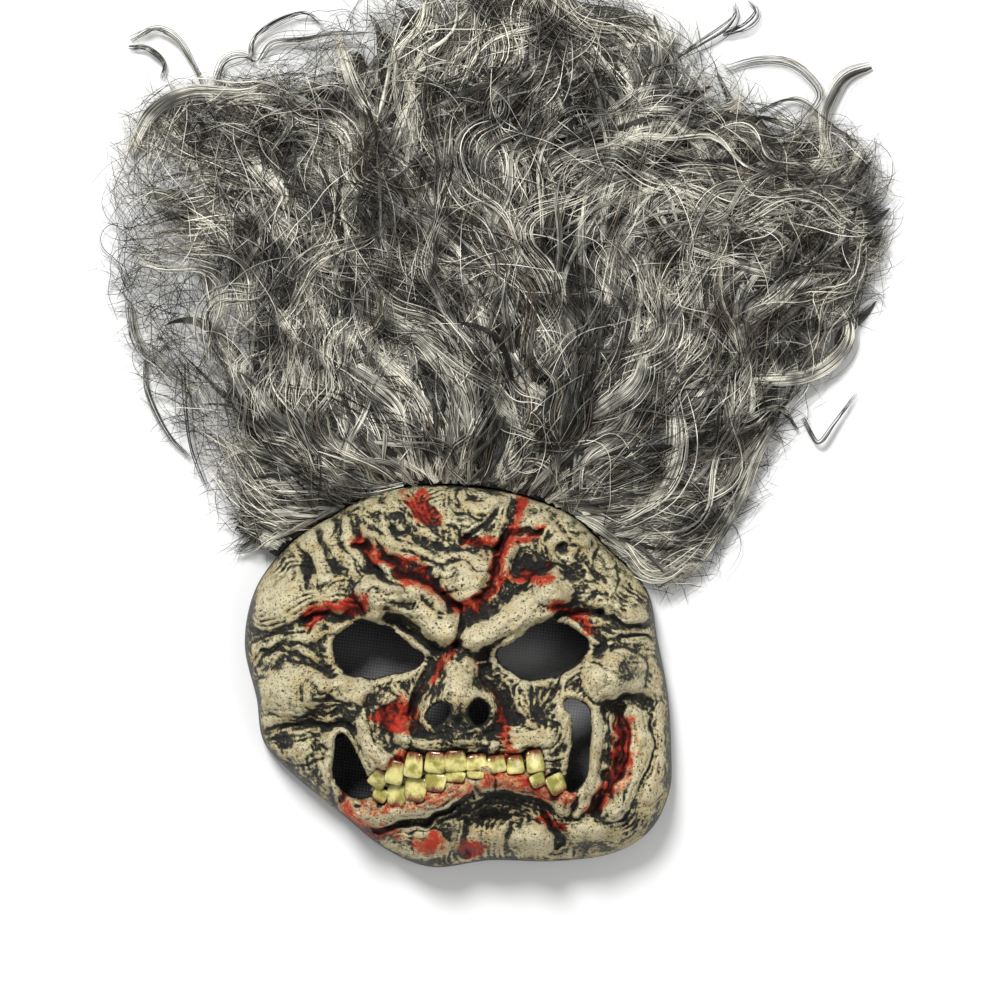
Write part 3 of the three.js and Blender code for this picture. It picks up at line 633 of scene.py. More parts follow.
# Wound areas, as pads and strokes with a strength.
redPads = [
    [[-0.17, 0.89], [0.07, 0.06], -25, 0.9],
    [[-0.16, 0.83], [0.07, 0.06], 0, 0.8],
    [[-0.3, -0.18], [0.11, 0.09], 10, 1.0],
    [[-0.22, -0.25], [0.06, 0.03], 0, 0.7],
    [[0.23, -0.25], [0.035, 0.07], 0, 0.8],
    [[0.25, 0.78], [0.045, 0.08], 0, 0.7],
    [[0.35, 0.52], [0.13, 0.05], 12, 0.9],
    [[0.24, 0.53], [0.03, 0.05], 0, 0.8],
    [[0.41, 0.6], [0.03, 0.03], 0, 0.6],
    [[-0.14, -0.85], [0.1, 0.085], 0, 1.0],
    [[0.05, -0.89], [0.07, 0.08], 0, 1.05],
    [[0.44, -0.75], [0.085, 0.04], -35, 1.0],
    [[-0.28, -0.42], [0.09, 0.04], 0, 0.9],
    [[0.57, 0.33], [0.06, 0.05], -40, 0.9],
    [[0.1, 0.36], [0.05, 0.03], 0, 0.7],
    [[0.23, -0.38], [0.08, 0.05], 0, 0.9],
    [[0.5, -0.63], [0.04, 0.03], 0, 0.6],
    [[-0.32, -0.66], [0.05, 0.03], 0, 0.7],
    [[0.6, -0.68], [0.05, 0.03], 20, 0.7],
]
redStrokes = [
    [[-0.26, 0.97], [-0.2, 0.9], [-0.1, 0.85], 0.035, 0.6],
    [[-0.47, 0.71], [-0.38, 0.62], [-0.16, 0.52], 0.05, 0.85],
    [[-0.27, 0.55], [-0.14, 0.5], [0.03, 0.36], 0.052, 0.85],
    [[-0.1, 0.47], [0.0, 0.38], [0.12, 0.36], 0.035, 0.8],
    [[0.3, 0.93], [0.23, 0.68], [0.17, 0.44], 0.048, 0.9],
    [[0.2, 0.68], [0.3, 0.73], [0.38, 0.75], 0.035, 0.9],
    [[0.2, 0.66], [0.1, 0.71], [0.05, 0.7], 0.04, 0.9],
    [[0.17, 0.46], [0.12, 0.4], [0.03, 0.36], 0.045, 0.9],
    [[-0.68, 0.3], [-0.6, 0.39], [-0.44, 0.38], 0.055, 0.95],
    [[0.46, 0.38], [0.56, 0.36], [0.61, 0.24], 0.052, 0.95],
    [[-0.11, 0.0], [-0.06, 0.09], [0.0, 0.16], 0.035, 0.85],
    [[0.06, 0.07], [0.12, -0.02], [0.2, -0.12], 0.025, 0.42],
    [[-0.12, 0.0], [-0.18, -0.05], [-0.28, -0.1], 0.03, 0.42],
    [[0.21, -0.16], [0.24, -0.28], [0.24, -0.36], 0.032, 0.75],
    [[-0.54, -0.65], [-0.5, -0.78], [-0.3, -0.82], 0.06, 0.75],
    [[-0.42, -0.67], [-0.2, -0.68], [0.06, -0.53], 0.06, 0.55],
    [[0.14, -0.49], [0.3, -0.49], [0.5, -0.61], 0.065, 0.7],
    [[0.77, -0.2], [0.79, -0.42], [0.66, -0.64], 0.055, 0.85],
    [[0.81, -0.3], [0.81, -0.5], [0.7, -0.64], 0.035, 0.4],
    [[0.62, -0.62], [0.7, -0.6], [0.74, -0.5], 0.03, 0.5],
]
creamPads = [
    [[-0.83, 0.42], [0.16, 0.15], 0, 1.0],
    [[-0.62, 0.4], [0.2, 0.08], 15, 0.6],
    [[-0.69, 0.68], [0.12, 0.17], 15, 1.1],
    [[-0.5, 0.6], [0.05, 0.14], 30, 0.6],
    [[-0.78, -0.02], [0.12, 0.1], 0, 0.8],
    [[-0.5, -0.04], [0.12, 0.07], 0, 0.9],
    [[-0.84, -0.2], [0.1, 0.09], 0, 0.7],
    [[0.64, 0.0], [0.12, 0.1], -4, 0.8],
    [[0.88, 0.0], [0.08, 0.1], 0, 0.7],
    [[0.42, 0.79], [0.13, 0.07], -20, 0.9],
    [[0.62, 0.66], [0.06, 0.12], 20, 0.7],
    [[0.7, 0.5], [0.12, 0.08], -30, 0.6],
    [[0.25, 0.3], [0.27, 0.09], 40, 1.1],
    [[0.1, 0.23], [0.1, 0.07], 25, 1.1],
    [[-0.13, 0.33], [0.22, 0.09], -45, 0.9],
    [[-0.06, 0.25], [0.08, 0.06], -30, 1.0],
    [[0.05, 0.52], [0.12, 0.13], 0, 0.9],
    [[0.1, 0.86], [0.1, 0.06], 0, 0.5],
    [[0.01, 0.05], [0.09, 0.1], 0, 0.9],
    [[0.34, -0.3], [0.12, 0.05], 0, 0.5],
    [[-0.3, -0.33], [0.07, 0.08], 0, 0.4],
    [[-0.28, -0.71], [0.24, 0.05], -3, 0.8],
    [[0.65, -0.46], [0.06, 0.24], -8, 1.2],
    [[0.87, -0.44], [0.1, 0.27], 0, 1.2],
    [[-0.42, -0.3], [0.05, 0.15], 20, 0.6],
    [[-0.6, -0.45], [0.05, 0.12], 20, 0.6],
    [[0.43, -0.14], [0.07, 0.1], 0, 0.6],
    [[0.3, -0.84], [0.16, 0.09], 0, 0.8],
    [[0.66, -0.8], [0.12, 0.08], 0, 0.8],
    [[0.78, 0.2], [0.12, 0.06], 0, 0.5],
]
# Dark areas, as pads with a strength: where the black paint shows, and painted shade in pits and on the
# cheekbones.
blackAndShadePads = [
    [[0.02, -0.19], [0.24, 0.15], 0, 2.4],
    [[-0.03, -0.34], [0.3, 0.06], 0, 1.7],
    [[0.0, 0.1], [0.16, 0.03], 0, 1.0],
    [[-0.42, -0.24], [0.09, 0.03], -30, 1.0],
    [[0.22, 0.06], [0.05, 0.1], 30, 1.0],
    [[-0.2, 0.84], [0.12, 0.08], 0, 1.0],
    [[-0.12, 0.7], [0.1, 0.08], 0, 0.6],
    [[0.14, 0.78], [0.05, 0.1], 0, 0.7],
    [[-0.56, -0.08], [0.09, 0.06], 0, 0.7],
    [[0.79, 0.03], [0.1, 0.08], 0, 1.6],
    [[0.7, 0.1], [0.1, 0.03], 20, 0.6],
    [[-0.68, -0.06], [0.12, 0.08], 0, 1.4],
    [[-0.9, -0.08], [0.04, 0.08], 0, 0.5],
    [[0.62, -0.88], [0.12, 0.06], 0, 0.5],
    [[0.75, -0.62], [0.06, 0.06], 0, 0.9],
    [[-0.02, -0.8], [0.07, 0.08], 0, 0.5],
    [[-0.25, 0.375], [0.07, 0.05], 0, 1.1],
    [[-0.13, 0.39], [0.07, 0.035], -45, 1.1],
    [[-0.7, 0.55], [0.05, 0.09], 10, 0.8],
    [[-0.42, 0.56], [0.12, 0.08], 30, 0.5],
    [[-0.94, 0.2], [0.1, 0.2], 0, 0.6],
    [[-0.84, 0.14], [0.14, 0.12], 0, 0.4],
    [[0.2, -0.6], [0.17, 0.08], 0, 1.0],
    [[0.12, -0.7], [0.12, 0.06], 0, 0.7],
    [[0.86, -0.75], [0.14, 0.12], 0, 0.9],
    [[0.93, -0.25], [0.06, 0.2], 0, 0.4],
    [[-0.74, -0.52], [0.14, 0.18], 40, 0.7],
    [[-0.5, -0.8], [0.2, 0.1], -30, 0.5],
    [[0.33, 0.57], [0.09, 0.07], 25, 1.0],
    [[-0.82, -0.33], [0.08, 0.07], 0, 0.9],
    [[-0.44, -0.16], [0.1, 0.08], 0, 0.5],
    [[0.38, -0.12], [0.12, 0.14], 0, 0.55],
    [[0.25, -0.08], [0.06, 0.12], 0, 0.5],
    [[0.02, 0.15], [0.13, 0.035], 0, 1.2],
    [[0.5, 0.38], [0.12, 0.06], 0, 0.6],
    [[0.77, 0.25], [0.14, 0.1], 0, 0.3],
    [[0.6, 0.5], [0.08, 0.06], 0, 0.5],
    [[0.04, -0.9], [0.12, 0.06], 0, 0.6],
]


# How much of a paint lies at each place: the most that any pad or stroke gives, with wobbling edges.
def paintAmount(x, y, padRows, strokeRows=()):
    amount = np.zeros(x.shape)
    wobbleX = x + 3 * smoothNoise(x, y, 8, 21) + 1.2 * smoothNoise(x, y, 3, 22)
    wobbleY = y + 3 * smoothNoise(x, y, 8, 23) + 1.2 * smoothNoise(x, y, 3, 24)
    for at, size, turn, strength in padRows:
        reach = ovalReach(wobbleX, wobbleY, at, size, turn)
        amount = np.maximum(amount, strength * np.clip(1.5 - 1.5 * reach ** 2, 0, 1))
    for start, via, end, width, strength in strokeRows:
        d = polylineDistance(wobbleX, wobbleY, quadraticCurve(start, via, end, 10))[0]
        amount = np.maximum(amount, strength * np.clip(1.6 - 1.6 * d / (width * halfFace[0]), 0, 1))
    return amount


px, py = facePoints[:, 0], facePoints[:, 1]
holeGap = openingDistance(px, py)[0]
nostrils = np.hypot(px, py + 0.17 * halfFace[1]) < 0.25 * halfFace[0]
mouthReach = np.min([toothShares(px, py, tooth)[2] for tooth in upperTeeth + lowerTeeth], axis=0)
paint = {
    "rim": bell(np.abs(holeGap - 0.9), 0.8) * ((holeGap > 0.1) & ~nostrils),
    "red": paintAmount(px, py, redPads, redStrokes),
    "cream": paintAmount(px, py, creamPads),
    # the dark pads, and painted shade in the sunk mouth round the teeth
    "dark": np.maximum(paintAmount(px, py, blackAndShadePads), bell(np.maximum(mouthReach - 1, 0), 0.3)),
    "inside": np.concatenate(insideShare),
    "lobe": onLobe(px, py),
}
for name, values in relief.items():
    paint[name] = np.pad(values, (0, len(px) - outerCount))


# A new material, its node tree and its shader.
def newMaterial(name):
    material = bpy.data.materials.new(name)
    material.use_nodes = True
    return material, material.node_tree, material.node_tree.nodes["Principled BSDF"]


# Puts a number, a colour or another node's output into a socket.
def putInto(tree, socket, value):
    if isinstance(value, bpy.types.NodeSocket):
        tree.links.new(value, socket)
    elif isinstance(value, tuple):
        socket.default_value = (*value, 1)
    else:
        socket.default_value = value


# Sets the shader's colour and roughness, and the other sockets that are named.
def finishShader(tree, shader, colour, roughness, others=()):
    putInto(tree, shader.inputs["Base Color"], colour)
    putInto(tree, shader.inputs["Roughness"], roughness)
    for name, value in dict(others).items():
        shader.inputs[name].default_value = value


# What the mesh carries at each point under a name.
def attributeNode(tree, name, output="Fac"):
    node = tree.nodes.new("ShaderNodeAttribute")
    node.attribute_name = name
    return node.outputs[output]


# The place on the piece, in metres.
def objectCoordinates(tree):
    return tree.nodes.new("ShaderNodeTexCoord").outputs["Object"]


# Moves, turns or stretches a vector.
def mappingNode(tree, vector, name, value):
    node = tree.nodes.new("ShaderNodeMapping")
    node.inputs[name].default_value = value
    tree.links.new(vector, node.inputs["Vector"])
    return node.outputs["Vector"]


# Noise from 0 to 1 in steps of one over the scale, stretched where that is given.
def noiseNode(tree, vector, scale, detail=4, roughness=0.6, stretch=None):
    node = tree.nodes.new("ShaderNodeTexNoise")
    node.inputs["Scale"].default_value = scale
    node.inputs["Detail"].default_value = detail
    node.inputs["Roughness"].default_value = roughness
    if stretch:
        vector = mappingNode(tree, vector, "Scale", stretch)
    tree.links.new(vector, node.inputs["Vector"])
    return node.outputs["Fac"]


# One step of arithmetic on two values.
def mathNode(tree, operation, first, second):
    node = tree.nodes.new("ShaderNodeMath")
    node.operation = operation
    putInto(tree, node.inputs[0], first)
    putInto(tree, node.inputs[1], second)
    return node.outputs[0]


# A value times an amount or another value, measured from a middle.
def scaled(tree, value, amount, middle=0.0):
    if middle:
        value = mathNode(tree, "SUBTRACT", value, middle)
    return mathNode(tree, "MULTIPLY", value, amount)


# The sum of all the values.
def total(tree, *values):
    result = values[0]
    for value in values[1:]:
        result = mathNode(tree, "ADD", result, value)
    return result


# From 0 at one value to 1 at another, smoothly.
def rampNode(tree, value, low, high):
    node = tree.nodes.new("ShaderNodeMapRange")
    node.interpolation_type = "SMOOTHSTEP"
    node.inputs["From Min"].default_value = low
    node.inputs["From Max"].default_value = high
    tree.links.new(value, node.inputs["Value"])
    return node.outputs["Result"]


# From the first colour to the second by a factor.
def mixColour(tree, factor, first, second, blend="MIX"):
    node = tree.nodes.new("ShaderNodeMix")
    node.data_type = "RGBA"
    node.blend_type = blend
    putInto(tree, node.inputs[0], factor)
    putInto(tree, node.inputs[6], first)
    putInto(tree, node.inputs[7], second)
    return node.outputs[2]


# Lets a height tilt the surface, as if it were a distance in metres high.
def bumpInto(tree, shader, height, distance, strength):
    node = tree.nodes.new("ShaderNodeBump")
    node.inputs["Distance"].default_value = distance
    node.inputs["Strength"].default_value = strength
    tree.links.new(height, node.inputs["Height"])
    tree.links.new(node.outputs["Normal"], shader.inputs["Normal"])


# Starts a node group with its sockets, each a name and a kind, and gives its tree, inputs and result.
def newGroup(name, takes, gives):
    group = bpy.data.node_groups.new(name, "ShaderNodeTree")
    for socket in takes:
        group.interface.new_socket(name=socket, in_out="INPUT", socket_type="NodeSocketFloat")
    for socket, kind in gives.items():
        group.interface.new_socket(name=socket, in_out="OUTPUT", socket_type="NodeSocket" + kind)
    return group, group.nodes.new("NodeGroupInput"), group.nodes.new("NodeGroupOutput")


# Puts a node group into a material, with its inputs in their order.
def groupNode(tree, group, *values):
    node = tree.nodes.new("ShaderNodeGroup")
    node.node_tree = group
    for socket, value in zip(node.inputs, values):
        putInto(tree, socket, value)
    return node.outputs


# The paint of the face: black vinyl under broken cream, and red wounds over both.
def paintedVinyl():
    material, tree, shader = newMaterial("painted_vinyl")
    where = objectCoordinates(tree)
    relief, fine, red, cream = [attributeNode(tree, name) for name in ("relief", "fine", "red", "cream")]
    speckle = noiseNode(tree, where, 560, 5, 0.8)
    pepper = noiseNode(tree, where, 900, 2, 0.5)
    flakes = noiseNode(tree, where, 230, 4, 0.7)
    grit = noiseNode(tree, where, 640, 3, 0.6)
    patches = noiseNode(tree, where, 95, 4, 0.6)
    wide = noiseNode(tree, where, 28, 2, 0.5)

    # Strokes run level with the slopes, as wrinkles and dry brushing do: noise read in short steps of height.
    slopes = attributeNode(tree, "slopes", "Vector")
    strokes = noiseNode(tree, slopes, 1, 4, 0.62)
    finer = noiseNode(tree, slopes, 2.6, 3, 0.6)

    # Cream sits on what stands out, breaks up into strokes and speckles and misses what lies low.
    smoothed = total(tree, scaled(tree, cream, 0.6), attributeNode(tree, "lobe"))
    brushed = total(tree, scaled(tree, strokes, 1.9, 0.5), scaled(tree, finer, 1.3, 0.5))
    level = total(
        tree,
        scaled(tree, relief, 0.7),
        scaled(tree, fine, 0.62),
        # painted shade round the large forms, lighter paint on their tops
        scaled(tree, attributeNode(tree, "broad"), 0.5),
        scaled(tree, cream, 0.55),
        # black paint, and painted shade in pits, on the cheekbones and round the teeth
        scaled(tree, attributeNode(tree, "dark"), -0.6),
        attributeNode(tree, "rim"),
        scaled(tree, brushed, rampNode(tree, smoothed, 1.15, 0.0)),
        scaled(tree, speckle, 3.4, 0.5),
        scaled(tree, patches, 1.4, 0.5),
        scaled(tree, flakes, 1.6, 0.5),
        scaled(tree, wide, 0.9, 0.5),
        scaled(tree, grit, 1.3, 0.5),
    )
    chipped = scaled(tree, rampNode(tree, pepper, 0.66, 0.58), rampNode(tree, flakes, 0.68, 0.63))
    coverage = scaled(tree, rampNode(tree, level, -0.06, 0.12), chipped)
    dust = scaled(tree, rampNode(tree, grit, 0.55, 0.66), rampNode(tree, level, -1.7, -0.3))
    coverage = mathNode(tree, "MAXIMUM", coverage, scaled(tree, dust, 0.75))
    creamTone = mixColour(tree, rampNode(tree, level, 0.0, 1.05), *faceLook["cream"])
    creamTone = mixColour(tree, rampNode(tree, patches, 0.42, 0.72), creamTone, faceLook["yellowed"])
    creamTone = mixColour(tree, scaled(tree, wide, 0.5), creamTone, faceLook["greyed"])
    base = mixColour(tree, coverage, mixColour(tree, flakes, *faceLook["black"]), creamTone)

    # Red paint over the same texture: it stains at a wound's edge, covers in
    # its middle and is dark in its cracks.
    broken = total(
        tree,
        red,
        scaled(tree, strokes, 1.8, 0.5),
        scaled(tree, flakes, 1.6, 0.5),
        scaled(tree, speckle, 2.4, 0.5),
    )
    near = rampNode(tree, red, 0.02, 0.3)
    thick = scaled(tree, rampNode(tree, broken, 0.5, 1.05), near)
    thinStainAndPaintedLight = scaled(tree, rampNode(tree, broken, 0.1, 0.8), near)
    wet = total(
        tree,
        scaled(tree, coverage, 0.5),
        scaled(tree, relief, 0.35),
        scaled(tree, fine, 0.35),
        scaled(tree, finer, 1.2, 0.5),
    )
    redTone = mixColour(tree, rampNode(tree, wet, -0.75, 0.5), *faceLook["red"])
    stained = mixColour(tree, 1.0, base, faceLook["redStain"], "MULTIPLY")
    base = mixColour(tree, thick, mixColour(tree, thinStainAndPaintedLight, base, stained), redTone)
    base = mixColour(tree, attributeNode(tree, "inside"), base, faceLook["inside"])
    finishShader(tree, shader, base, rampNode(tree, coverage, -1.3, 1.7), {"Specular IOR Level": 0.22})
    coarse = total(tree, speckle, scaled(tree, strokes, 1.6), scaled(tree, finer, 0.8))
    grain = total(tree, coarse, patches, flakes, scaled(tree, grit, 0.5))
    bumpInto(tree, shader, grain, 0.0018, 0.9)
    return material


face = meshPiece("face", facePoints, np.concatenate(faceQuads), paintedVinyl(), "face_shell")
for name, values in paint.items():
    setAttribute(face, name, values)

# Where the strokes are read: the height of the forms, stretched, and the place, drawn together.
plainHeight = foldsHeight(px + 1.5 * smoothNoise(px, py, 6, 11), py + 1.5 * smoothNoise(px, py, 6, 12))[0]
plainHeight += padsHeight(px, py) + 0.4 * domeHeight(px, py)[0]
for size, rise, seed in ((15, 3.5, 13), (7, 2.2, 14), (3, 0.8, 15)):
    plainHeight += rise * smoothNoise(px, py, size, seed)
setAttribute(face, "slopes", np.stack([plainHeight * 0.5, px * 0.11, py * 0.11], axis=1))


print("teeth")
toothLook = {
    "cells": 20,  # along each side of a tooth's grid
    "front": 4.4,  # how far a tooth stands out
    "sunk": 1.2,
    "rooted": 3.2,  # how deep its edge goes
    "wider": 1.2,  # than the tables say, so that neighbours touch
    "taller": 1.1,
    "tone": ((0.3, 0.27, 0.05), (0.8, 0.72, 0.27)),
    "root": (0.16, 0.03, 0.01),
    # painted shade where each tooth meets its neighbours and the gum
    "shadedEdge": (0.03, 0.018, 0.007),
}


# Yellow in patches, brown towards the root and dark at the sides as painted shade where each tooth meets its
# neighbours and the gum, under a clear coat.
def toothGloss():
    material, tree, shader = newMaterial("tooth_gloss")
    where = objectCoordinates(tree)
    stain = noiseNode(tree, where, 420, 4, 0.65, (1, 0.35, 1))
    tone = mixColour(tree, rampNode(tree, noiseNode(tree, where, 170, 3), 0.35, 0.65), *toothLook["tone"])
    amount = total(tree, attributeNode(tree, "root"), scaled(tree, stain, 0.9, 0.5))
    tone = mixColour(tree, rampNode(tree, amount, 0.4, 0.85), tone, toothLook["root"])
    # Darker at the tooth's edge: painted shade, broken by the stain.
    side = total(tree, attributeNode(tree, "side"), scaled(tree, stain, 0.5))
    tone = mixColour(tree, rampNode(tree, side, 0.8, 1.12), tone, toothLook["shadedEdge"])
    finishShader(tree, shader, tone, 0.16, {"Coat Weight": 0.6, "Coat Roughness": 0.08})
    bumpInto(tree, shader, stain, 0.0005, 0.4)
    return material


# Every tooth has the same grid. It is pressed into a square whose corners are rounded by the fifth power.
discX, discY, discQuads, discEdge = discGrid(toothLook["cells"], lambda angle: 1.0, 0)
out = np.minimum(np.hypot(discX, discY), 1)
around = np.arctan2(discY, discX)
square = (np.abs(np.cos(around)) ** 5 + np.abs(np.sin(around)) ** 5) ** -0.2
square = square * np.sin(out * math.pi / 2) ** 0.5
blockX, blockY = square * np.cos(around), square * np.sin(around)


# A tooth is a block domed in front, a little wider at the end that bites. It leans with
# the face under it, its edge is drawn down into the gum by the eighth power of the way
# out, and its flat underside closes it there.
def toothForm(tooth, upper):
    at, width, height, turn = tooth
    middle = np.array(at) * halfFace
    towardsRoot = blockY if upper else -blockY
    across = blockX * (1 - 0.1 * towardsRoot) * width * halfFace[0] / 2 * toothLook["wider"]
    up = blockY * height * halfFace[0] / 2 * toothLook["taller"]
    angle = math.radians(turn)
    x = middle[0] + across * math.cos(angle) - up * math.sin(angle)
    y = middle[1] + across * math.sin(angle) + up * math.cos(angle)
    nearX, nearY = middle[:, None] + [[0, -6, 6, 0, 0], [0, 0, 0, -6, 6]]
    near = faceRelief(nearX, nearY, fine=False)
    seat = near[0] - toothLook["sunk"] + 0.8 * (near[2] - near[1]) / 12 * (x - middle[0])
    seat += 0.5 * (near[4] - near[3]) / 12 * (y - middle[1])
    front = seat + toothLook["front"] * np.maximum(np.cos(out * math.pi / 2), 0) ** 0.4
    front -= toothLook["rooted"] * out ** 8
    points = [np.stack([x, y, height], axis=1) for height in (front, seat - toothLook["rooted"])]
    return np.concatenate(points), np.tile(np.clip(0.35 + 0.55 * towardsRoot, 0, 1), 2), np.tile(out, 2)


forms = [toothForm(tooth, True) for tooth in upperTeeth] + [toothForm(tooth, False) for tooth in lowerTeeth]
toothPoints, toothRoot, toothSide = [np.concatenate(parts) for parts in zip(*forms)]
underneath = len(out) + np.arange(len(out))
underneath[discEdge] = discEdge  # the underside shares the edge
block = np.concatenate([discQuads, underneath[discQuads][:, ::-1]])
toothQuads = np.concatenate([block + 2 * len(out) * n for n in range(len(forms))])
toothQuads, toothPoints, toothRoot, toothSide = usedOnly(toothQuads, toothPoints, toothRoot, toothSide)
teeth = meshPiece("teeth", toothPoints, toothQuads, toothGloss(), "face_shell")
setAttribute(teeth, "root", toothRoot)
setAttribute(teeth, "side", toothSide)


print("hood")
hoodLook = {
    "cloth": 1.5,
    "slack": 17.0,  # how far the cloth behind the face is pushed up towards it
    "slackMargin": 16.0,
    "neckY": 29.0 - halfFace[1],
    "width": 194.0,  # of the crown, folded flat
    "reach": 118.0,  # past the forehead
    "tuck": 20.0,
    "crownMiddle": np.array([0.0, 0.76 * halfFace[1]]),
    "band": (29, 147),  # where the front edge runs, in degrees
    "bandHeight": 13.0,
    "seamRadius": 2.4,
    "hem": (-52, 84),
    "knit": ((0.085, 0.083, 0.088), (0.28, 0.275, 0.285)),
    # near black, darker than the knit of the same hood: black cloth with painted shade for the gap round the face
    # and under the hair
    "seam": ((0.006, 0.006, 0.007), (0.035, 0.034, 0.036)),
    # pale: painted light where light through the face's holes falls on the cloth
    "thinStainAndPaintedLight": (0.6, 0.6, 0.59),
}
cloth = hoodLook["cloth"]


# A knit's two crossing rows of stitches, and where it is worn.
def knitWeaveGroup():
    group, _, result = newGroup("knitWeave", [], {"Weave": "Float", "Worn": "Float"})
    where = objectCoordinates(group)
    waves = []
    for turn in (0, math.pi / 2):
        wave = group.nodes.new("ShaderNodeTexWave")
        wave.inputs["Scale"].default_value = 210
        wave.inputs["Distortion"].default_value = 0.6
        vector = mappingNode(group, where, "Rotation", (0, 0, turn + 0.12))
        group.links.new(vector, wave.inputs["Vector"])
        waves.append(wave.outputs["Fac"])
    group.links.new(scaled(group, *waves), result.inputs["Weave"])
    group.links.new(scaled(group, noiseNode(group, where, 60, 3), 0.4), result.inputs["Worn"])
    return group


# A knit from dark to light by its weave, dark again where it is worn, and pale in patches of painted light where
# light through the face's holes would fall.
def knitCloth(name, dark, light):
    material, tree, shader = newMaterial(name)
    knitted = groupNode(tree, knitWeave)
    tone = mixColour(tree, knitted["Weave"], dark, light)
    tone = mixColour(tree, knitted["Worn"], tone, dark)
    # Paler where light through the holes would fall: painted light.
    tone = mixColour(tree, attributeNode(tree, "thinStainAndPaintedLight"), tone, hoodLook["thinStainAndPaintedLight"])
    finishShader(tree, shader, tone, 0.85, {"Sheen Weight": 0.25})
    bumpInto(tree, shader, knitted["Weave"], 0.0004, 0.6)
    return material


knitWeave = knitWeaveGroup()
knit = knitCloth("knit_cloth", *hoodLook["knit"])
# The seam's cloth: the hood's black knit, made darker still as painted shade in the gap round the face and under
# the hair.
shadedSeamKnit = knitCloth("seam_cloth_shaded", *hoodLook["seam"])


# How high the cloth behind the face hangs: a dome with long shallow folds and some softness.
def slackHeight(x, y):
    share = np.minimum(np.hypot(x, y) / (faceReach(np.arctan2(y, x)) - hoodLook["slackMargin"]), 1)
    folded = 1 + 0.16 * np.cos(x / 9 + y / 23) + 0.1 * np.cos(y / 11 - x / 31)
    soft = 0.8 * smoothNoise(x, y, 16, 31) + 0.4 * smoothNoise(x, y, 7, 32)
    return hoodLook["slack"] * (1 - share ** 2) ** 2 * folded + soft * np.clip((1 - share) * 4, 0, 1)


# The sides between two copies of a sheet, from the edges that only one quad has.
def sideQuads(edges, under):
    return np.stack([edges[:, 0], edges[:, 0] + under, edges[:, 1] + under, edges[:, 1]], axis=1)


# The quads of a sheet, of its copy underneath and of the sides between them.
def slabQuads(quads, under):
    return np.concatenate([quads, quads[:, ::-1] + under, sideQuads(openEdges(quads), under)])


x, y, quads, _ = discGrid(64, faceReach, 0.6)
quads = quads[(y[quads] > hoodLook["neckY"] + 0.01).any(axis=1)]
quads, x, y = usedOnly(quads, x, np.maximum(y, hoodLook["neckY"]))
lift = slackHeight(x, y)
points = np.concatenate([np.stack([x, y, height], axis=1) for height in (lift + cloth, np.maximum(lift, 0))])
hoodBack = meshPiece("hood_back", points, slabQuads(quads, len(x)), knit, "hood")

# Painted light: pale patches where light through the eye holes and the right cheek hole falls on the cloth, in
# three places: their middles, half sizes and strengths.
thinStainAndPaintedLight = sum(
    strength * bell(x - middleX, sizeX) * bell(y - middleY, sizeY)
    for middleX, middleY, sizeX, sizeY, strength in (
        (40, 6, 22, 9, 0.9), (56, -36, 14, 22, 0.54), (-38, 8, 24, 9, 0.225)
    )
)
setAttribute(hoodBack, "thinStainAndPaintedLight", np.concatenate([thinStainAndPaintedLight, thinStainAndPaintedLight]))


# The crown's outline: a rounded oblong by the power 2.6, longer away from the face than towards it.
def crownReach(angle):
    away = hoodLook["reach"] + halfFace[1] - hoodLook["crownMiddle"][1]
    along = np.where(np.sin(angle) > 0, away, hoodLook["tuck"])
    across = np.abs(np.cos(angle)) / (hoodLook["width"] / 2)
    return (across ** 2.6 + np.abs(np.sin(angle) / along) ** 2.6) ** (-1 / 2.6)


# Moves the places that lie closer to the face than a gap out to it, and
# drops the quads that lie there altogether.
def keptOffFace(x, y, quads, gap):
    angle = np.arctan2(y, x)
    clear = faceReach(angle) + gap
    within = np.hypot(x, y) < clear
    quads = quads[~within[quads].all(axis=1)]
    return np.where(within, clear * np.cos(angle), x), np.where(within, clear * np.sin(angle), y), quads


# The crown, folded flat: two layers of cloth that join at the fold and lie open towards the face.
middleX, middleY = hoodLook["crownMiddle"]
x, y, quads, edge = discGrid(70, crownReach, 0)
x, y, quads = keptOffFace(x, y + middleY, quads, 0.3)
ripple = 0.2 * smoothNoise(x, y, 12, 33) + 0.1 * smoothNoise(x, y, 5, 34)
onFold = np.isin(np.arange(len(x)), edge)
quads, x, y, onFold, ripple = usedOnly(quads, x, y, onFold, ripple)
inner = np.where(onFold, 1 - cloth * 0.9 / np.maximum(np.hypot(x, y - middleY), 1), 1)
layers = []
middles = [(cloth + 0.06, 0.4, inner), (cloth - 0.06, 0.4, inner)]  # height, share of the ripple, drawn in
for height, share, shrink in [(2 * cloth, 1, 1), *middles, (0, 0, 1)]:
    rise = np.maximum(height - 0.1 + share * ripple, 0)
    layers.append(np.stack([x * shrink, middleY + (y - middleY) * shrink, rise], axis=1))
size = len(x)
rims = openEdges(quads)
folded = onFold[rims].all(axis=1)
p, q = rims[folded].T
s, t = rims[~folded].T
first, last = np.intersect1d(p, t), np.intersect1d(q, s)  # where the fold meets the open side
crownQuads = np.concatenate([
    quads,
    quads[:, ::-1] + size,
    quads + 2 * size,
    quads[:, ::-1] + 3 * size,
    sideQuads(rims[folded], 3 * size),
    sideQuads(rims[folded][:, ::-1] + size, size),
    sideQuads(rims[~folded], size),
    sideQuads(rims[~folded] + 2 * size, size),
    np.stack([first + 3 * size, first, first + size, first + 2 * size], axis=1),
    np.stack([last, last + 3 * size, last + 2 * size, last + size], axis=1),
])
hoodCrown = meshPiece("hood_crown", np.concatenate(layers), crownQuads, shadedSeamKnit, "hood")


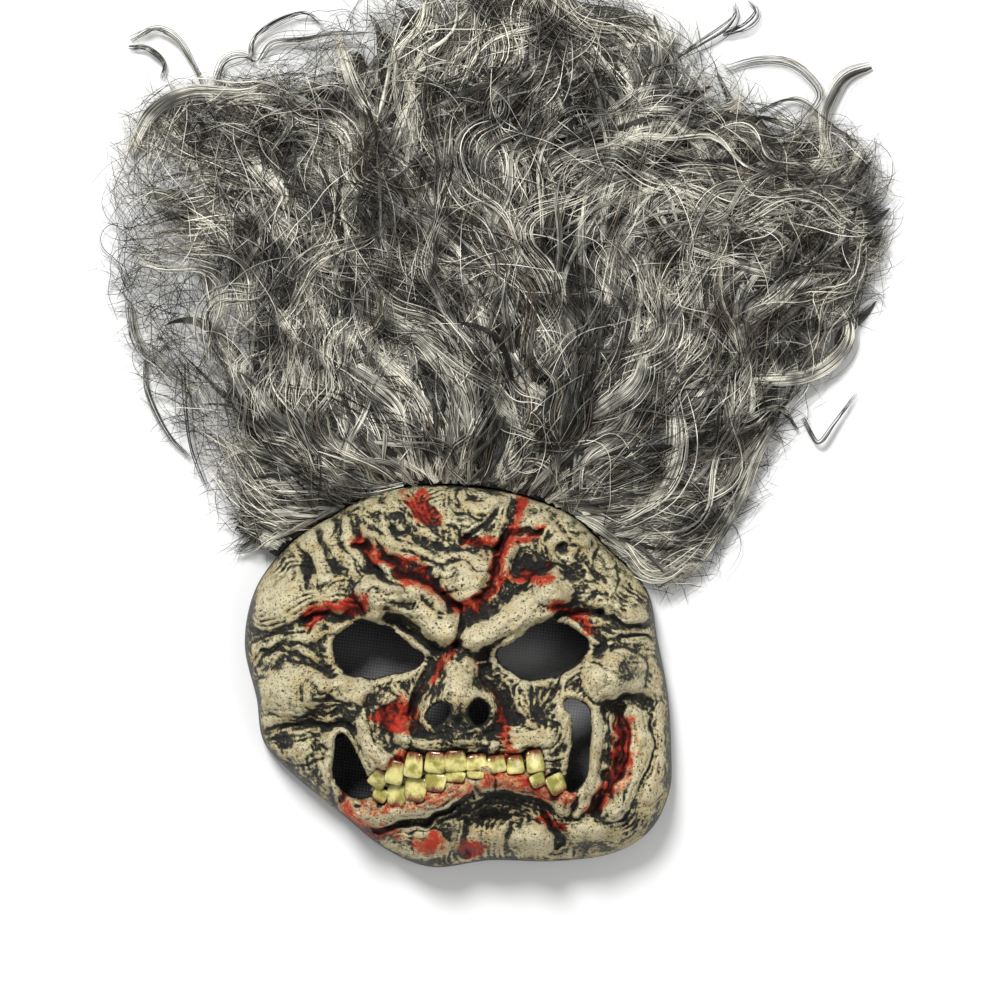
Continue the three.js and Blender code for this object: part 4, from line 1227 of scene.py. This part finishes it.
# A closed tube through rings of points, each with an even number of them, its ends closed by quads across.
def tubePiece(name, points, material):
    steps, around, _ = points.shape
    index = np.arange(steps * around).reshape(steps, around)
    half = np.arange(around // 2 - 1)
    ends = [
        np.stack([row[half], row[around - 1 - half], row[around - 2 - half], row[half + 1]], axis=1)[:, ::turned]
        for row, turned in ((index[0], 1), (index[-1], -1))
    ]
    beside = np.roll(index, -1, axis=1)
    side = np.stack([index[:-1], beside[:-1], beside[1:], index[1:]], axis=-1).reshape(-1, 4)
    quads = np.concatenate([side, *ends])
    return meshPiece(name, points.reshape(-1, 3), quads, material, "hood")


# The hood's front edge: a band up the side of the face with a rolled and puckered seam on it. Its profile is
# how far out from the face and how high, and it is carried round the face.
bandHeight, seamRadius = hoodLook["bandHeight"], hoodLook["seamRadius"]
turn = np.linspace(-0.3, 1.3, 14) * math.pi
rolled = seamRadius * np.stack([1 - np.cos(turn), np.sin(turn)], axis=1) + [0, bandHeight - seamRadius]
profile = np.concatenate([[[0.2, 0.1], [0.2, 4.0]], rolled, [[3.3, 4.0], [3.3, 0.1]]])
out, up = profile.T
angle = np.radians(np.linspace(*hoodLook["band"], 560))[:, None]
puckered = 1 + 0.07 * np.sin(angle * 190) * (up > bandHeight * 0.6) + 0.035 * np.sin(angle * 71)
reach = faceReach(angle) + 0.6 + out * puckered
bandPoints = [reach * np.cos(angle), reach * np.sin(angle), up * (1 + 0.021 * np.sin(angle * 83))]
hoodEdge = tubePiece("hood_front_edge", np.stack(bandPoints, axis=-1), shadedSeamKnit)

# The hem across the neck opening: a thin tube from side to side.
steps, sides = 90, 10
across = np.linspace(*hoodLook["hem"], steps)[:, None]
turn = np.linspace(0, 2 * math.pi, sides, endpoint=False)[None, :]
hemRadius = 1.5 * (1 - 0.85 * np.abs(np.linspace(-1, 1, steps)[:, None]) ** 12)
hemZ = 1.5 + slackHeight(across, np.full_like(across, hoodLook["neckY"])) + hemRadius * np.sin(turn)
hemPoints = [across + 0 * turn, hoodLook["neckY"] + hemRadius * np.cos(turn), np.maximum(hemZ, 0)]
hoodHem = tubePiece("hood_hem", np.stack(hemPoints, axis=-1), knit)


print("hair")
hairLook = {
    "middle": np.array([20.0, halfFace[1] + 96.0]),
    "half": np.array([184.0, 146.0]),
    "depth": 47.0,
    "rimDepth": 5.0,
    "lockRise": 16.0,  # room that the locks take up above the mass
    "flowFrom": (0.0, 48.0),  # the hair lies away from this place
    "seam": (20, 153),  # where it is sewn on round the face, in degrees
    "matInset": 17.0,
    "thinInset": 24.0,  # more of it at the left, where the hair is thin
    "dark": (0.006, 0.006, 0.005),
    "silver": (0.93, 0.9, 0.76),
    "brown": (0.13, 0.08, 0.045),
    "roughness": 0.34,
}

# How each kind of hair is laid. Two numbers are a range, or for the limit a mean and a spread. Turns are in
# radians, and wave, curl and wander are turns too, the last two for each millimetre of the way.
lockKind = {
    "steps": 22, "length": (55, 125), "lean": 0.35, "wave": (0.08, 0.5), "waveLength": (40, 90), "curl": 0.003,
    "wander": 0.006, "follow": 0.85, "limit": (-8, 4), "spare": (0, 60), "furthest": 9,
}
lowLocks = {**lockKind, "count": 620, "seamed": 190, "width": (4.0, 9.0), "lift": (-1.5, 1.5)}
highLocks = {**lockKind, "count": 860, "seamed": 330, "width": (1.6, 4.2), "lift": (0.5, 4.5)}
bundles = {
    "steps": 24, "length": (60, 140), "lean": 0.45, "wave": (0.2, 0.75), "waveLength": (32, 75), "curl": 0.005,
    "wander": 0.01, "follow": 0.7, "limit": (-2, 5), "spare": (0, 40), "furthest": 16, "lift": (0.5, 5.5),
    "count": 175, "seamed": 50, "each": 16, "width": (0.28, 0.5), "tilt": 0.9, "twist": 3,
    "tones": (0.42, 0.24), "brown": 0.12,
}
frizz = {
    "steps": 16, "length": (25, 85), "lean": 0.85, "wave": (0.05, 0.35), "waveLength": (22, 60), "curl": 0.008,
    "wander": 0.025, "follow": 0.5, "limit": (-1, 6), "lift": (0, 7), "count": 3300, "width": (0.2, 0.38),
    "tilt": 1.2, "twist": 4, "tones": (0.48, 0.24), "brown": 0.15,
}
looseEnds = {
    "steps": 18, "length": (25, 80), "lean": 0.9, "wave": (0, 0.5), "waveLength": (18, 45), "curl": 0.03,
    "wander": 0.05, "follow": 0.4, "limit": (5, 5), "lift": (0, 3), "count": 1400, "width": (0.2, 0.36),
    "tilt": 1, "twist": 4, "tones": (0.5, 0.16), "brown": 0.1,
}

hairOutline = [
    [0.995, 0.24], [0.96, 0.46], [0.785, 0.555], [0.61, 0.65], [0.48, 0.81], [0.3, 0.95], [0.025, 1],
    [-0.25, 0.95], [-0.455, 0.84], [-0.63, 0.7], [-0.81, 0.635], [-0.96, 0.52], [-1, 0.24], [-0.985, -0.08],
    [-0.885, -0.365], [-0.785, -0.57], [-0.72, -0.745], [-0.66, -0.87], [-0.43, -0.905], [-0.11, -1.03],
    [0.25, -1.03], [0.39, -1.025], [0.495, -0.985], [0.57, -0.84], [0.66, -0.65], [0.76, -0.445],
    [0.885, -0.24], [0.975, -0.015],
]
hairReach = reachOf(hairOutline, hairLook["half"])


# The top of the mass of hair, the share of the way to its outline and the gap to the face: thick over the
# hood, thin at the edge, with waves that fan out from the face, and kept low along the seam, which it covers.
def hairTop(x, y):
    dx, dy = x - hairLook["middle"][0], y - hairLook["middle"][1]
    share = np.hypot(dx, dy) / hairReach(np.arctan2(dy, dx))
    angle = np.arctan2(y, x)
    distance = np.hypot(x, y)
    reach = distance / faceLook["width"]
    bend = 1.5 * np.sin(7.5 * reach) + 0.8 * np.sin(3.3 * reach + 5 * angle)
    waves = 3.2 * np.cos(17 * angle + bend) + 1.3 * np.cos(29 * angle - 2 * bend)
    waves += 3.4 * smoothNoise(x, y, 21, 61) + 1.8 * smoothNoise(x, y, 9, 62)
    mass = (hairLook["depth"] - hairLook["lockRise"]) * (1 - np.minimum(share, 1) ** 2) ** 0.8
    mass += hairLook["rimDepth"] + waves * np.clip((1 - share) / 0.2, 0, 1)
    gap = distance - faceReach(angle)
    near = bandHeight + 0.7 * np.maximum(gap, 0)
    mass = np.where(mass < near, mass, near + 0.25 * np.minimum(mass - near, 12))
    overSeam = bandHeight + 1.4 - 0.6 * np.maximum(gap - 4, 0)
    overSeam = np.where(np.abs(angle - math.radians(88)) < math.radians(61), overSeam, 0)
    return np.maximum(mass, overSeam), share, gap


# The way the hair lies: away from one place, turned by slow swirls that grow with the distance from the seam.
def flowAngle(x, y):
    away = np.arctan2(y - hairLook["flowFrom"][1], x - hairLook["flowFrom"][0])
    gap = np.hypot(x, y) - faceReach(np.arctan2(y, x))
    swirl = 1.5 * smoothNoise(x, y, 78, 71) + 0.8 * smoothNoise(x, y, 36, 72)
    return away + swirl * np.clip(gap / 120, 0.1, 1)


# How thin the hair is, from 0 to 1: it is spread out at the left.
def thinness(x, y):
    return np.clip((-38 - x) / 70, 0, 1) * np.clip((y - 70) / 60, 0, 1)


# Colour of a fibre: from dark to silver by its level, darker and lighter
# again in soft patches, with some brown.
def fibreColourGroup():
    group, given, result = newGroup("fibreColour", ["Level", "Brown", "Patches"], {"Colour": "Color"})
    patches = noiseNode(group, objectCoordinates(group), 38, 3, 0.6)
    patches = scaled(group, rampNode(group, patches, 0.34, 0.66), given.outputs["Patches"])
    level = scaled(group, given.outputs["Level"], total(group, patches, 0.36))
    colour = mixColour(group, rampNode(group, level, 0.0, 1.1), hairLook["dark"], hairLook["silver"])
    colour = mixColour(group, given.outputs["Brown"], colour, hairLook["brown"])
    group.links.new(colour, result.inputs["Colour"])
    return group


fibreColour = fibreColourGroup()


# A single strand, coloured by its own tone.
def hairFibre():
    material, tree, shader = newMaterial("hair_fibre")
    brown = scaled(tree, attributeNode(tree, "brown"), 0.55)
    tone = groupNode(tree, fibreColour, attributeNode(tree, "tone"), brown, 1.1)["Colour"]
    finishShader(tree, shader, tone, hairLook["roughness"], {"Specular IOR Level": 0.2})
    return material


# A lock is a ribbon whose fine streaks run along it: noise read across it in
# short steps and along it in long ones.
def hairStreaks():
    material, tree, shader = newMaterial("hair_streaks")
    strand = attributeNode(tree, "strand", "Vector")
    fine = noiseNode(tree, strand, 1, 3, 0.65, (2.6, 0.035, 1))
    broad = noiseNode(tree, strand, 1, 2, 0.5, (0.75, 0.02, 1))
    level = scaled(tree, rampNode(tree, fine, 0.32, 0.72), total(tree, broad, 0.35))
    level = scaled(tree, scaled(tree, level, total(tree, attributeNode(tree, "tone"), 0.12)), 1.5)
    tone = groupNode(tree, fibreColour, level, 0.0, 0.9)["Colour"]
    finishShader(tree, shader, tone, hairLook["roughness"], {"Specular IOR Level": 0.22})
    bumpInto(tree, shader, fine, 0.0009, 0.8)
    return material


# The mass below the strands: dark, with fine streaks.
def matFibre():
    material, tree, shader = newMaterial("hair_mat")
    fine = noiseNode(tree, objectCoordinates(tree), 620, 4, 0.7, (1, 0.3, 1))
    level = scaled(tree, rampNode(tree, fine, 0.35, 0.8), 0.4)
    tone = groupNode(tree, fibreColour, level, 0.1, 0.8)["Colour"]
    finishShader(tree, shader, tone, 0.6)
    bumpInto(tree, shader, fine, 0.003, 0.8)
    return material


# The dense hair against the hood, which shows between the locks. Near its edge it is worn through in places.
x, y, quads, _ = discGrid(112, hairReach, hairLook["matInset"])
x, y = x + hairLook["middle"][0], y + hairLook["middle"][1]
x = x + hairLook["thinInset"] * thinness(x, y)
x, y, quads = keptOffFace(x, y, quads, 5.4)
top, share, gap = hairTop(x, y)
wear = smoothNoise(x, y, 15, 63) + 0.5 * smoothNoise(x, y, 7, 64)
worn = wear > 0.95 - 1.1 * np.clip((share - 0.68) / 0.24, 0, 1)
worn = (worn & (share > 0.7) | (thinness(x, y) > 0.5)) & (gap > 30)
quads = quads[~worn[quads].any(axis=1)]
onCrown = (np.hypot(x, y - middleY) < crownReach(np.arctan2(y - middleY, x)) + 2) & (y > 0)
base = np.where(onCrown, 2 * cloth + 0.5, 0.3)
points = np.concatenate([np.stack([x, y, height], axis=1) for height in (np.maximum(top - 3, base + 0.8), base)])
meshPiece("hair_mat", points, slabQuads(quads, len(x)), matFibre(), "wig_hair")

random = np.random.default_rng(7)
fibre = hairFibre()
streaks = hairStreaks()


# Random numbers between the two ends of a span.
def some(span, count):
    return random.uniform(*span, count)


# Walks every strand over the mass at once. Each heads along the flow, turned by its own lean, wave, curl and
# wander, and ends once it has passed its own limit, in millimetres beyond the outline, or reaches the face.
def walk(roots, kind, unruly=1):
    count, steps = len(roots), kind["steps"]
    place = roots.copy()
    step = some(kind["length"], count) / steps
    lean = random.normal(0, kind["lean"], count) * unruly
    wave = some(kind["wave"], count)
    waveLength = some(kind["waveLength"], count)
    curl = random.normal(0, kind["curl"], count)
    lift = some(kind["lift"], count)
    limit = random.normal(*kind["limit"], count)
    spare = some(kind["spare"], count) if "spare" in kind else 0
    phase = some((0, 2 * math.pi), count)
    rough = random.normal(0, 1, (count, steps + 7))
    smooth = sum(rough[:, k:k + steps + 1] * weight for k, weight in enumerate([1, 2, 3, 4, 3, 2, 1])) / 7
    drift = np.cumsum(smooth, axis=1) * kind["wander"]
    start = flowAngle(place[:, 0], place[:, 1])
    path = np.zeros((count, steps + 1, 3))
    alive = np.zeros((count, steps + 1), dtype=bool)
    going = np.ones(count, dtype=bool)
    for n in range(steps + 1):
        x, y = place.T
        top, share, gap = hairTop(x, y)
        dx, dy = x - hairLook["middle"][0], y - hairLook["middle"][1]
        over = np.hypot(dx, dy) - hairReach(np.arctan2(dy, dx))
        going &= (over < limit - spare * thinness(x, y)) & (gap > 0.6)
        alive[:, n] = going
        arched = lift * (0.35 + 0.65 * np.sin(math.pi * n / steps))
        fall = np.clip((share - 0.9) / 0.12, 0, 1) * np.clip((gap - 10) / 12, 0, 1)
        path[:, n] = np.stack([x, y, np.maximum(top * (1 - 0.55 * fall) + arched, 0.6)], axis=1)
        travelled = n * step
        turned = np.angle(np.exp(1j * (flowAngle(x, y) - start)))
        swing = wave * np.sin(2 * math.pi * travelled / waveLength + phase)
        heading = start + lean + kind["follow"] * turned + swing + curl * travelled + drift[:, n] * step
        place = place + np.stack([np.cos(heading), np.sin(heading)], axis=1) * step[:, None]
    return path, alive


# The direction of each path, and the level way across it.
def acrossPaths(paths):
    tangent = np.gradient(paths, axis=1)
    tangent /= np.maximum(np.linalg.norm(tangent, axis=2, keepdims=True), 1e-9)
    return tangent, np.cross(tangent, [0.0, 0.0, 1.0])


# A ribbon for each path. It lies level, tilted and twisted about the path, arched across, and drawn out to a
# point by the share of the way to its own last living place.
def ribbons(name, paths, alive, width, tilt, twist, tone, brown, material, columns=2, arch=0.0, blunt=8):
    count, steps, _ = paths.shape
    alive = alive & (alive.sum(axis=1) > 5)[:, None]
    last = np.maximum(alive.sum(axis=1) - 1, 1)
    tangent, level = acrossPaths(paths)
    level /= np.maximum(np.linalg.norm(level, axis=2, keepdims=True), 1e-9)
    upright = np.cross(level, tangent)
    along = np.minimum(np.arange(steps)[None, :] / last[:, None], 1)[:, :, None]
    turn = tilt[:, None, None] + twist[:, None, None] * along
    across = level * np.cos(turn) + upright * np.sin(turn)
    raised = upright * np.cos(turn) - level * np.sin(turn)
    taper = np.minimum(1, 0.4 + 4 * along) * (1 - 0.92 * along ** blunt)
    half = (width[:, None, None] * taper / 2)[:, :, None]
    ride = np.linspace(-1, 1, columns)[None, None, :, None]
    points = paths[:, :, None] + across[:, :, None] * (half * ride)
    points = points + raised[:, :, None] * (arch * half * (1 - ride ** 2))
    points[..., 2] = np.maximum(points[..., 2], 0.1)
    index = np.arange(count * steps * columns).reshape(count, steps, columns)
    quads = np.stack([index[:, :-1, :-1], index[:, :-1, 1:], index[:, 1:, 1:], index[:, 1:, :-1]], axis=-1)
    quads = quads[alive[:, 1:]].reshape(-1, 4)
    each = steps * columns
    values = {"tone": np.repeat(tone, each), "brown": np.repeat(brown, each)}
    if columns > 2:
        gone = np.linalg.norm(np.diff(paths, axis=1, prepend=paths[:, :1]), axis=2).cumsum(axis=1)
        strand = np.zeros((count, steps, columns, 3))
        strand[..., 0] = (half * ride)[..., 0] + 37.0 * np.arange(count)[:, None, None]
        strand[..., 1] = gone[:, :, None]
        strand[..., 2] = 11.0 * np.arange(count)[:, None, None]
        values["strand"] = strand.reshape(-1, 3)
    quads, points, *used = usedOnly(quads, points.reshape(-1, 3), *values.values())
    piece = meshPiece(name, points, quads, material, "wig_hair")
    for field, value in zip(values, used):
        setAttribute(piece, field, value)


# Places spread evenly over the hair, between two shares of the way out.
def scatter(count, low=0.0, high=1.0):
    found = np.zeros((0, 2))
    while len(found) < count:
        spots = random.uniform(-1.05, 1.05, (4 * count, 2)) * hairLook["half"] + hairLook["middle"]
        _, share, gap = hairTop(spots[:, 0], spots[:, 1])
        found = np.concatenate([found, spots[(share > low) & (share < high) & (gap > 1)]])
    return found[:count]


# Roots for a kind of hair: some all over, and some close along the seam.
def rootsOf(kind):
    spread = scatter(kind["count"] - kind["seamed"])
    angle = some(np.radians(hairLook["seam"]), kind["seamed"])
    reach = faceReach(angle) + 0.9 + kind["furthest"] * some((0, 1), kind["seamed"]) ** 1.7
    return np.concatenate([spread, np.stack([reach * np.cos(angle), reach * np.sin(angle)], axis=1)])


# Tones from dark to silver, with given shares of dark and of silver.
def tones(count, darkShare, silverShare):
    pick = random.uniform(size=count)
    dark = some((0.0, 0.16), count)
    middle = some((0.16, 0.5), count)
    silver = some((0.6, 1.2), count)
    return np.where(pick < darkShare, dark, np.where(pick < 1 - silverShare, middle, silver))


# Single strands of one kind, which keep to the tone of their bundle where they have one.
def singleStrands(name, paths, alive, kind, bundleTone=None):
    count = len(paths)
    width = some(kind["width"], count)
    tilt = some((-kind["tilt"], kind["tilt"]), count)
    twist = some((-kind["twist"], kind["twist"]), count)
    tone = tones(count, *kind["tones"])
    if bundleTone is not None:
        tone = np.clip(0.55 * (bundleTone + tone), 0, 1.3)
    brown = (random.uniform(size=count) < kind["brown"]).astype(float)
    ribbons(name, paths, alive, width, tilt, twist, tone, brown, fibre)


# Locks: streaked ribbons in two layers, the upper one narrower.
for part, kind in enumerate((lowLocks, highLocks)):
    roots, count = rootsOf(kind), kind["count"]
    paths, alive = walk(roots, kind)
    tone = 0.5 + 0.45 * smoothNoise(roots[:, 0], roots[:, 1], 26, 80 + part) + random.normal(0, 0.28, count)
    width, tilt, twist = some(kind["width"], count), random.normal(0, 0.25, count), random.normal(0, 0.5, count)
    tone, brown = np.clip(tone, 0.02, 1.3), np.zeros(count)
    name = f"hair_locks_{part + 1}"
    ribbons(name, paths, alive, width, tilt, twist, tone, brown, streaks, columns=4, arch=0.45, blunt=3)

# Bundles of single strands that wave together, spread out along the way and drawn in at the tip.
for part in range(2):
    count, each, steps = bundles["count"], bundles["each"], bundles["steps"]
    guides, alive = walk(rootsOf(bundles), bundles)
    _, level = acrossPaths(guides)
    along = np.linspace(0, 1, steps + 1)
    beside = random.normal(0, 1, (count, each, 1, 1)) * random.uniform(1.2, 4.0, (count, 1, 1, 1))
    beside = beside * (0.75 + 0.5 * np.sin(along * math.pi * 1.3))[:, None]
    sway = sum(random.normal(0, 1, (count, each, 1)) * np.cos(math.pi * (k + 1) * along + k) for k in range(4))
    paths = guides[:, None] + level[:, None] * (beside + 0.6 * sway[..., None])
    paths[..., 2] += random.uniform(-1.0, 1.6, (count, each, 1))
    bundleTone = np.repeat(tones(count, 0.3, 0.35), each)
    paths, alive = paths.reshape(-1, steps + 1, 3), np.repeat(alive, each, axis=0)
    singleStrands(f"hair_strands_{part + 1}", paths, alive, bundles, bundleTone)

# Frizz: single strands, fairly straight, that cross the others, calmer near the face.
for part in range(2):
    roots = scatter(frizz["count"], 0.0, 0.98)
    gap = np.hypot(roots[:, 0], roots[:, 1]) - faceReach(np.arctan2(roots[:, 1], roots[:, 0]))
    singleStrands(f"hair_frizz_{part + 1}", *walk(roots, frizz, np.clip(gap / 110, 0.3, 1)), frizz)

# Loose curls past the edge.
singleStrands("hair_ends", *walk(scatter(looseEnds["count"], 0.84, 0.98), looseEnds), looseEnds)

# Locks that can be told apart: width, tone, and places along each.
tellingLocks = [
    [8, 1.15, [[-59, 160], [-33, 148], [-19, 135], [-14, 121], [-20, 109]]],
    [10, 0.7, [[-58, 172], [-33, 168], [-13, 154], [1, 133], [6, 113]]],
    [9, 0.9, [[-62, 152], [-42, 142], [-27, 128], [-22, 112]]],
    [5, 1.2, [[-90, 176], [-80, 162], [-74, 152]]],
    [3.5, 1.2, [[-63, 147], [-65, 136], [-60, 126]]],
    [3, 0.05, [[-156, 178], [-153, 160], [-146, 150], [-137, 158]]],
    [2, 0.05, [[-149, 149], [-148, 135], [-138, 114], [-127, 102]]],
    [4, 0.1, [[-129, 148], [-128, 126], [-126, 108], [-119, 88]]],
    [10, 1.2, [[130, 141], [163, 142], [180, 151], [186, 163], [181, 176]]],
    [9, 1.0, [[126, 161], [149, 175], [165, 191], [170, 202]]],
    [9, 0.9, [[153, 128], [141, 106], [131, 80], [113, 53], [95, 41]]],
    [8, 0.6, [[148, 124], [134, 104], [122, 82], [106, 58], [92, 46]]],
    [9, 1.1, [[101, 134], [103, 110], [97, 91], [83, 79], [71, 71]]],
    [10, 1.1, [[88, 156], [83, 139], [69, 127], [58, 120]]],
    [11, 1.2, [[22, 156], [33, 139], [45, 130]]],
    [8, 1.0, [[12, 140], [22, 124], [40, 112]]],
    [2.5, 0.08, [[-156, 302], [-144, 307], [-134, 302], [-126, 290], [-121, 280]]],
    [1.8, 0.05, [[-157, 299], [-148, 298], [-140, 291], [-141, 283]]],
    [2.2, 0.1, [[-99, 294], [-97, 303], [-86, 311], [-73, 315], [-64, 309]]],
    [4.5, 0.12, [[-95, 292], [-88, 301], [-73, 303], [-58, 305], [-43, 304]]],
    [3, 0.1, [[-116, 280], [-111, 291], [-102, 294], [-96, 291]]],
    [10, 0.8, [[-156, 248], [-144, 267], [-127, 276], [-102, 275], [-88, 281]]],
    [9, 1.3, [[-98, 246], [-88, 236], [-81, 227], [-86, 220]]],
    [5, 1.1, [[-58, 304], [-51, 281], [-45, 270], [-40, 263]]],
    [3, 0.08, [[104, 292], [113, 298], [126, 306], [132, 313], [132, 320]]],
    [3.2, 0.06, [[126, 305], [137, 309], [142, 315], [138, 321]]],
    [3.8, 0.25, [[127, 288], [143, 292], [157, 291], [167, 284], [172, 275], [165, 265], [159, 258], [158, 247]]],
    [1.6, 0.05, [[143, 267], [155, 273], [165, 272], [179, 260], [191, 252]]],
    [6, 0.5, [[197, 289], [185, 284], [178, 274], [175, 264], [175, 250], [183, 233]]],
    [5, 0.08, [[87, 283], [102, 285], [113, 273], [115, 260]]],
    [4, 0.9, [[82, 266], [100, 267], [114, 262]]],
    [1.0, 0.05, [[164, 122], [171, 110], [179, 119], [190, 134]]],
    [2.4, 0.08, [[150, 129], [156, 124], [162, 116]]],
]


# A smooth path through a lock's places, in even shares between them.
def smoothPath(places, steps):
    places = np.array(places, dtype=float)
    ends = np.concatenate([[2 * places[0] - places[1]], places, [2 * places[-1] - places[-2]]])
    position = np.linspace(0, len(places) - 1, steps)
    k = np.minimum(position.astype(int), len(places) - 2)
    return between(ends[k], ends[k + 1], ends[k + 2], ends[k + 3], (position - k)[:, None])


# The light ones are streaked ribbons with some strands over them, and the dark ones are strands alone.
count, steps, each = len(tellingLocks), 25, 13
flat = np.stack([smoothPath(places, steps) for _, _, places in tellingLocks])
top, share, _ = hairTop(flat[..., 0], flat[..., 1])
fall = np.clip((share - 0.9) / 0.12, 0, 1)
height = np.maximum(top * (1 - 0.6 * fall) + 3.6 * np.sin(np.linspace(0.2, math.pi - 0.2, steps)), 1.2)
guides = np.concatenate([flat, height[..., None]], axis=-1)
widths = np.array([width for width, _, _ in tellingLocks]) * np.where(share.mean(axis=1) > 0.97, 0.55, 1)
shades = np.array([tone for _, tone, _ in tellingLocks])
light = shades > 0.3
none = np.zeros(light.sum())
twist = random.normal(0, 0.3, light.sum())
living = np.ones((count * each, steps), dtype=bool)
ribbons(
    "hair_telling_locks", guides[light], living[:light.sum()], widths[light] * 0.85, none, twist, shades[light],
    none, streaks, columns=5, arch=0.5, blunt=4,
)
_, level = acrossPaths(guides)
along = np.linspace(0, 1, steps)
beside = random.normal(0, 0.42, (count, each, 1, 1)) * (widths + 0.8)[:, None, None, None]
beside = beside * (0.6 + 0.5 * np.sin(along * math.pi * 1.2))[:, None]
sway = random.normal(0, 0.5, (count, each, 1, 1)) * np.cos(math.pi * 2 * along)[:, None]
paths = guides[:, None] + level[:, None] * (beside + sway)
paths[..., 2] += random.uniform(0, 1.8, (count, each, 1))
count *= each
width, tilt, twist = some((0.25, 0.45), count), some((-0.8, 0.8), count), some((-2, 2), count)
tone = np.clip(np.repeat(shades, each) * some((0.3, 1.2), count) + some((0, 0.32), count), 0, 1.3)
paths = paths.reshape(count, steps, 3)
ribbons("hair_telling_strands", paths, living, width, tilt, twist, tone, np.zeros(count), fibre)


print("floor and lights")
studio = {
    "floor": (0.9, 0.9, 0.9),
    "floorHalf": 3,
    "sky": 0.4,
    "target": (0, -0.05, 0),
    "lamps": {"key": ((-0.4, 0.86, 1.65), 0.5, 33), "fill": ((0.9, -0.4, 1.6), 1.0, 6)},  # place, size, watts
}
floorMaterial, tree, shader = newMaterial("pale_floor")
finishShader(tree, shader, studio["floor"], 0.7)
reach = studio["floorHalf"]
floorMesh = bpy.data.meshes.new("floor")
corners = [(-reach, -reach, 0), (reach, -reach, 0), (reach, reach, 0), (-reach, reach, 0)]
floorMesh.from_pydata(corners, [], [(0, 1, 2, 3)])
floorMesh.materials.append(floorMaterial)
floor = bpy.data.objects.new("floor", floorMesh)
bpy.context.scene.collection.objects.link(floor)

world = bpy.data.worlds.new("studio")
world.use_nodes = True
world.node_tree.nodes["Background"].inputs["Color"].default_value = (1, 1, 1, 1)
world.node_tree.nodes["Background"].inputs["Strength"].default_value = studio["sky"]
bpy.context.scene.world = world

for name, (location, size, power) in studio["lamps"].items():
    light = bpy.data.lights.new(name, "AREA")
    light.shape = "DISK"
    light.size = size
    light.energy = power
    lamp = bpy.data.objects.new(name, light)
    lamp.location = location
    dx, dy, dz = np.array(studio["target"]) - location
    lamp.rotation_euler = (math.atan2(math.hypot(dx, dy), -dz), 0, math.atan2(dy, dx) - math.pi / 2)
    bpy.context.scene.collection.objects.link(lamp)

bpy.context.scene.view_settings.view_transform = "Standard"
